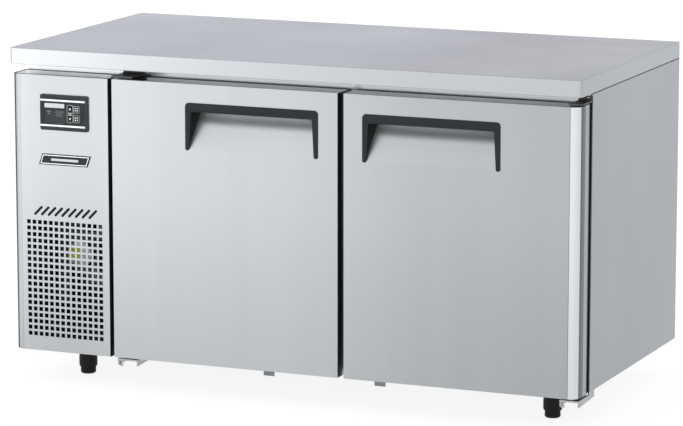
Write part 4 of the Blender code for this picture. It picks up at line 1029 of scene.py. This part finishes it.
LOUVRE_COLUMNS = (-0.720, -0.595)
LOUVRE_ROWS = [0.180 + 0.022 * row for row in range(16)]
GLAND_X, GLAND_Z, GLAND_RADIUS = -0.600, 0.140, 8.5 * MM
BACK_SCREWS_X = (-0.49, -0.02, 0.36)
RATING_PLATE = (-0.16, 0.02, 0.46, 0.56)
RIVET = [(0.0, 1.0 * MM), (2 * MM, 0.9 * MM), (2.6 * MM, 0.6 * MM), (2.6 * MM, 0.0), (0.0, 0.0)]


def make_back():
    """The back sheet with pressed louvres and a hole for the gland, its screws and a blank plate."""
    low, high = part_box("back_panel")
    outer = high.y - 1.1 * MM
    slot_w, slot_h = 95 * MM, 6 * MM
    loops = [rounded(low.x, high.x, low.z, high.z, 1 * MM, 2)]
    loops += [rounded(x, x + slot_w, z, z + slot_h, 2 * MM, 3) for x in LOUVRE_COLUMNS for z in LOUVRE_ROWS]
    loops.append(arc(GLAND_X, GLAND_Z, GLAND_RADIUS, GLAND_RADIUS, range(0, 360, 15)))
    bm = bmesh.new()
    add_plate(bm, loops, "xz", (0, outer - 0.4 * MM, 0), 0.8 * MM, 0.15 * MM)
    for x in LOUVRE_COLUMNS:
        for z in LOUVRE_ROWS:
            add_louvre(bm, x - 1 * MM, x + slot_w + 1 * MM, outer, z + slot_h)
    sheet = piece("back_sheet", bm, GALVANISED, "cabinet")
    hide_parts("back_panel")
    bm = bmesh.new()
    for x in (low.x + 14 * MM, *BACK_SCREWS_X, high.x - 14 * MM):
        for z in (low.z + 14 * MM, high.z - 60 * MM):
            add_screw(bm, (x, outer, z), ("y", 1), 2.4 * MM)
    piece("back_screws", bm, [SCREW, BLACK], "cabinet")
    bm = bmesh.new()
    x0, x1, z0, z1 = RATING_PLATE
    add_plate(bm, [rounded(x0, x1, z0, z1, 6 * MM)], "xz", (0, outer + 0.3 * MM, 0), 0.6 * MM, 0.15 * MM)
    piece("blank_rating_plate", bm, PAPER, "cabinet")
    bm = bmesh.new()
    for x in (x0 + 10 * MM, x1 - 10 * MM):
        for z in (z0 + 10 * MM, z1 - 10 * MM):
            add_lathe(bm, RIVET, (x, outer, z), "y", 16)
    piece("plate_rivets", bm, SCREW, "cabinet")


def add_louvre(bm, x0, x1, outer, top):
    """A louvre's blade: it leans out of the sheet above its slot, then slopes inwards behind it."""
    blade = [(0.9, -1.2), (0.9, -0.2), (-0.2, 0.9), (-1.0, 0.4), (-7.0, -7.0), (-6.4, -7.6), (-0.4, -0.4)]
    outline = [(outer + y * MM, top + z * MM) for y, z in blade]
    add_plate(bm, [outline], "yz", ((x0 + x1) / 2, 0, 0), x1 - x0)


# ---------------------------------------------------------------- cold compartment


def make_shelf(side):
    """A plated wire shelf: a heavy rim, two braces and fine wires across."""
    low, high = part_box(f"shelf_{side}")
    rim, brace, wire, corner, pitch = 2.9 * MM, 2.2 * MM, 1.2 * MM, 9 * MM, 21 * MM
    middle_z = (low.z + high.z) / 2
    bm = bmesh.new()
    outline = rounded(low.x + rim, high.x - rim, low.y + rim, high.y - rim, corner)
    add_tube(bm, [(x, y, middle_z) for x, y in outline], rim, 10, closed=True)
    brace_z = low.z + 2.4 * MM
    for y in (low.y + (high.y - low.y) / 3, low.y + 2 * (high.y - low.y) / 3):
        add_tube(bm, [(low.x + rim, y, brace_z), (high.x - rim, y, brace_z)], brace, 8)
    count = round((high.x - low.x) / pitch)
    end_z, top_z = middle_z + 1.4 * MM, high.z - wire
    for i in range(1, count):
        x = low.x + (high.x - low.x) * i / count
        path = [(x, low.y + rim, end_z), (x, low.y + corner, top_z)]
        path += [(x, high.y - corner, top_z), (x, high.y - rim, end_z)]
        add_tube(bm, path, wire, 6)
    shelf = piece(f"wire_shelf_{side}", bm, PLATED, f"shelf_{side}")
    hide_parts(f"shelf_{side}")


UPRIGHT_FACE = -0.2321


def make_rack_slots():
    """Dark patches up the front uprights, as painted shade for the slots that hold the ledges."""
    bm = bmesh.new()
    for name in ("rack_left", "rack_centre", "rack_right"):
        low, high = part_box(name)
        uprights = {
            "rack_left": (low.x, low.x + 16 * MM),
            "rack_centre": (0.1315, 0.1475),
            "rack_right": (0.6935, high.x),
        }
        x = sum(uprights[name]) / 2
        for i in range(20):
            z = low.z + 0.025 + i * 0.030
            if z > high.z - 0.015:
                break
            slot = rounded(x - 2 * MM, x + 2 * MM, z, z + 11 * MM, 1.9 * MM)
            add_plate(bm, [slot], "xz", (0, UPRIGHT_FACE, 0), 0.2 * MM)
    piece("rack_slots", bm, RUBBER, "cabinet")


FAN_MOUTH_Y, FAN_MOUTH_Z = 0.100, 0.600


def make_evaporator_details():
    """The wire guard over the fan's mouth, and the cover's screws."""
    low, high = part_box("evaporator_cover")

    def dome(radius, clear):
        """How far out the guard stands at a radius, which is in mm."""
        return high.x + (clear + (74 - radius) * 0.05) * MM

    bm = bmesh.new()
    for radius in (74, 62, 50, 38, 26, 14):
        centre = (dome(radius, 1.6), FAN_MOUTH_Y, FAN_MOUTH_Z)
        add_tube(bm, circle(centre, radius * MM, "x", 40), 1.0 * MM, 6, closed=True)
    for turn in (45, 135, 225, 315):
        path = []
        for radius in (10, 40, 78):
            ((y, z),) = arc(FAN_MOUTH_Y, FAN_MOUTH_Z, radius * MM, radius * MM, (turn,))
            path.append((dome(radius, 1.8), y, z))
        add_tube(bm, path, 1.3 * MM, 6)
    piece("evaporator_fan_guard", bm, PLATED, "cabinet")
    bm = bmesh.new()
    for y in (low.y + 8 * MM, high.y - 8 * MM):
        for z in (low.z + 10 * MM, (low.z + high.z) / 2, high.z - 10 * MM):
            add_screw(bm, (high.x, y, z), ("x", 1), 3.4 * MM)
    piece("evaporator_screws", bm, [SCREW, BLACK], "cabinet")


for each_side in ("left", "right"):
    make_handle(each_side)
    make_gasket(each_side)
    make_door_gap_shade(each_side)
    make_shelf(each_side)
make_panel_gap_shade_and_beads()
make_rear_gap_shade()
make_controller()
make_badge()
for each_corner in ("front_left", "front_right", "rear_left", "rear_right"):
    make_leg(each_corner)
make_hinge_details()
make_slot_shade_plates()
make_fan_details()
make_condenser_details()
make_compressor_details()
make_back()
make_rack_slots()
make_evaporator_details()


# ---------------------------------------------------------------- floor, light, camera


def make_floor():
    bm = bmesh.new()
    bmesh.ops.create_grid(bm, x_segments=1, y_segments=1, size=1)
    bmesh.ops.scale(bm, vec=(FLOOR_HALF, FLOOR_HALF, 1), verts=bm.verts)
    mesh = bpy.data.meshes.new("floor")
    bm.to_mesh(mesh)
    bm.free()
    floor = bpy.data.objects.new("floor", mesh)
    floor.location = FLOOR_PLACE
    mesh.materials.append(floor_material())
    SCENE.collection.objects.link(floor)


def area_light(name, place, aim, size, watts):
    light = bpy.data.lights.new(name, "AREA")
    light.shape = "RECTANGLE"
    light.size, light.size_y = size
    light.energy = watts
    obj = bpy.data.objects.new(name, light)
    obj.location = place
    obj.rotation_euler = (Vector(aim) - Vector(place)).to_track_quat("-Z", "Y").to_euler()
    obj.visible_camera = False
    SCENE.collection.objects.link(obj)


def make_world():
    """A white surround, brightest in front of the object and dimmer behind it and overhead."""
    world = bpy.data.worlds.new("studio")
    world.use_nodes = True
    tree = world.node_tree
    background = tree.nodes["Background"]
    background.inputs["Color"].default_value = (1.0, 1.0, 1.0, 1)
    place = add(tree, "ShaderNodeTexCoord")
    split = add(tree, "ShaderNodeSeparateXYZ")
    tree.links.new(place.outputs["Generated"], split.inputs["Vector"])
    levels = []
    front_to_back, level_to_zenith = ("Y", -0.4, 0.4, 1.5, 1.1), ("Z", 0.1, 0.6, 1.0, 0.85)
    for axis, start, end, low, high in (front_to_back, level_to_zenith):
        span = add(tree, "ShaderNodeMapRange", interpolation_type="SMOOTHSTEP")
        span.inputs["From Min"].default_value, span.inputs["From Max"].default_value = start, end
        span.inputs["To Min"].default_value, span.inputs["To Max"].default_value = low, high
        tree.links.new(split.outputs[axis], span.inputs["Value"])
        levels.append(span.outputs["Result"])
    tree.links.new(maths(tree, "MULTIPLY", *levels), background.inputs["Strength"])
    SCENE.world = world


CAMERA_PLACE = (3.513, -8.363, 2.068)
CAMERA_DOWN, CAMERA_TURN = 10.28, 22.86
CAMERA_LENS, CAMERA_SENSOR = 193.3, 36.0


def make_camera():
    camera = bpy.data.cameras.new("camera")
    camera.lens, camera.sensor_width = CAMERA_LENS, CAMERA_SENSOR
    camera.clip_end = 100.0
    obj = bpy.data.objects.new("camera", camera)
    obj.location = CAMERA_PLACE
    obj.rotation_euler = (math.radians(90 - CAMERA_DOWN), 0, math.radians(CAMERA_TURN))
    SCENE.collection.objects.link(obj)
    SCENE.camera = obj


make_floor()
make_world()
area_light("softbox", (-2.4, -2.6, 0.8), (-0.4, 0, 0.6), (1.4, 1.4), 8)
make_camera()
SCENE.view_settings.view_transform = "Standard"
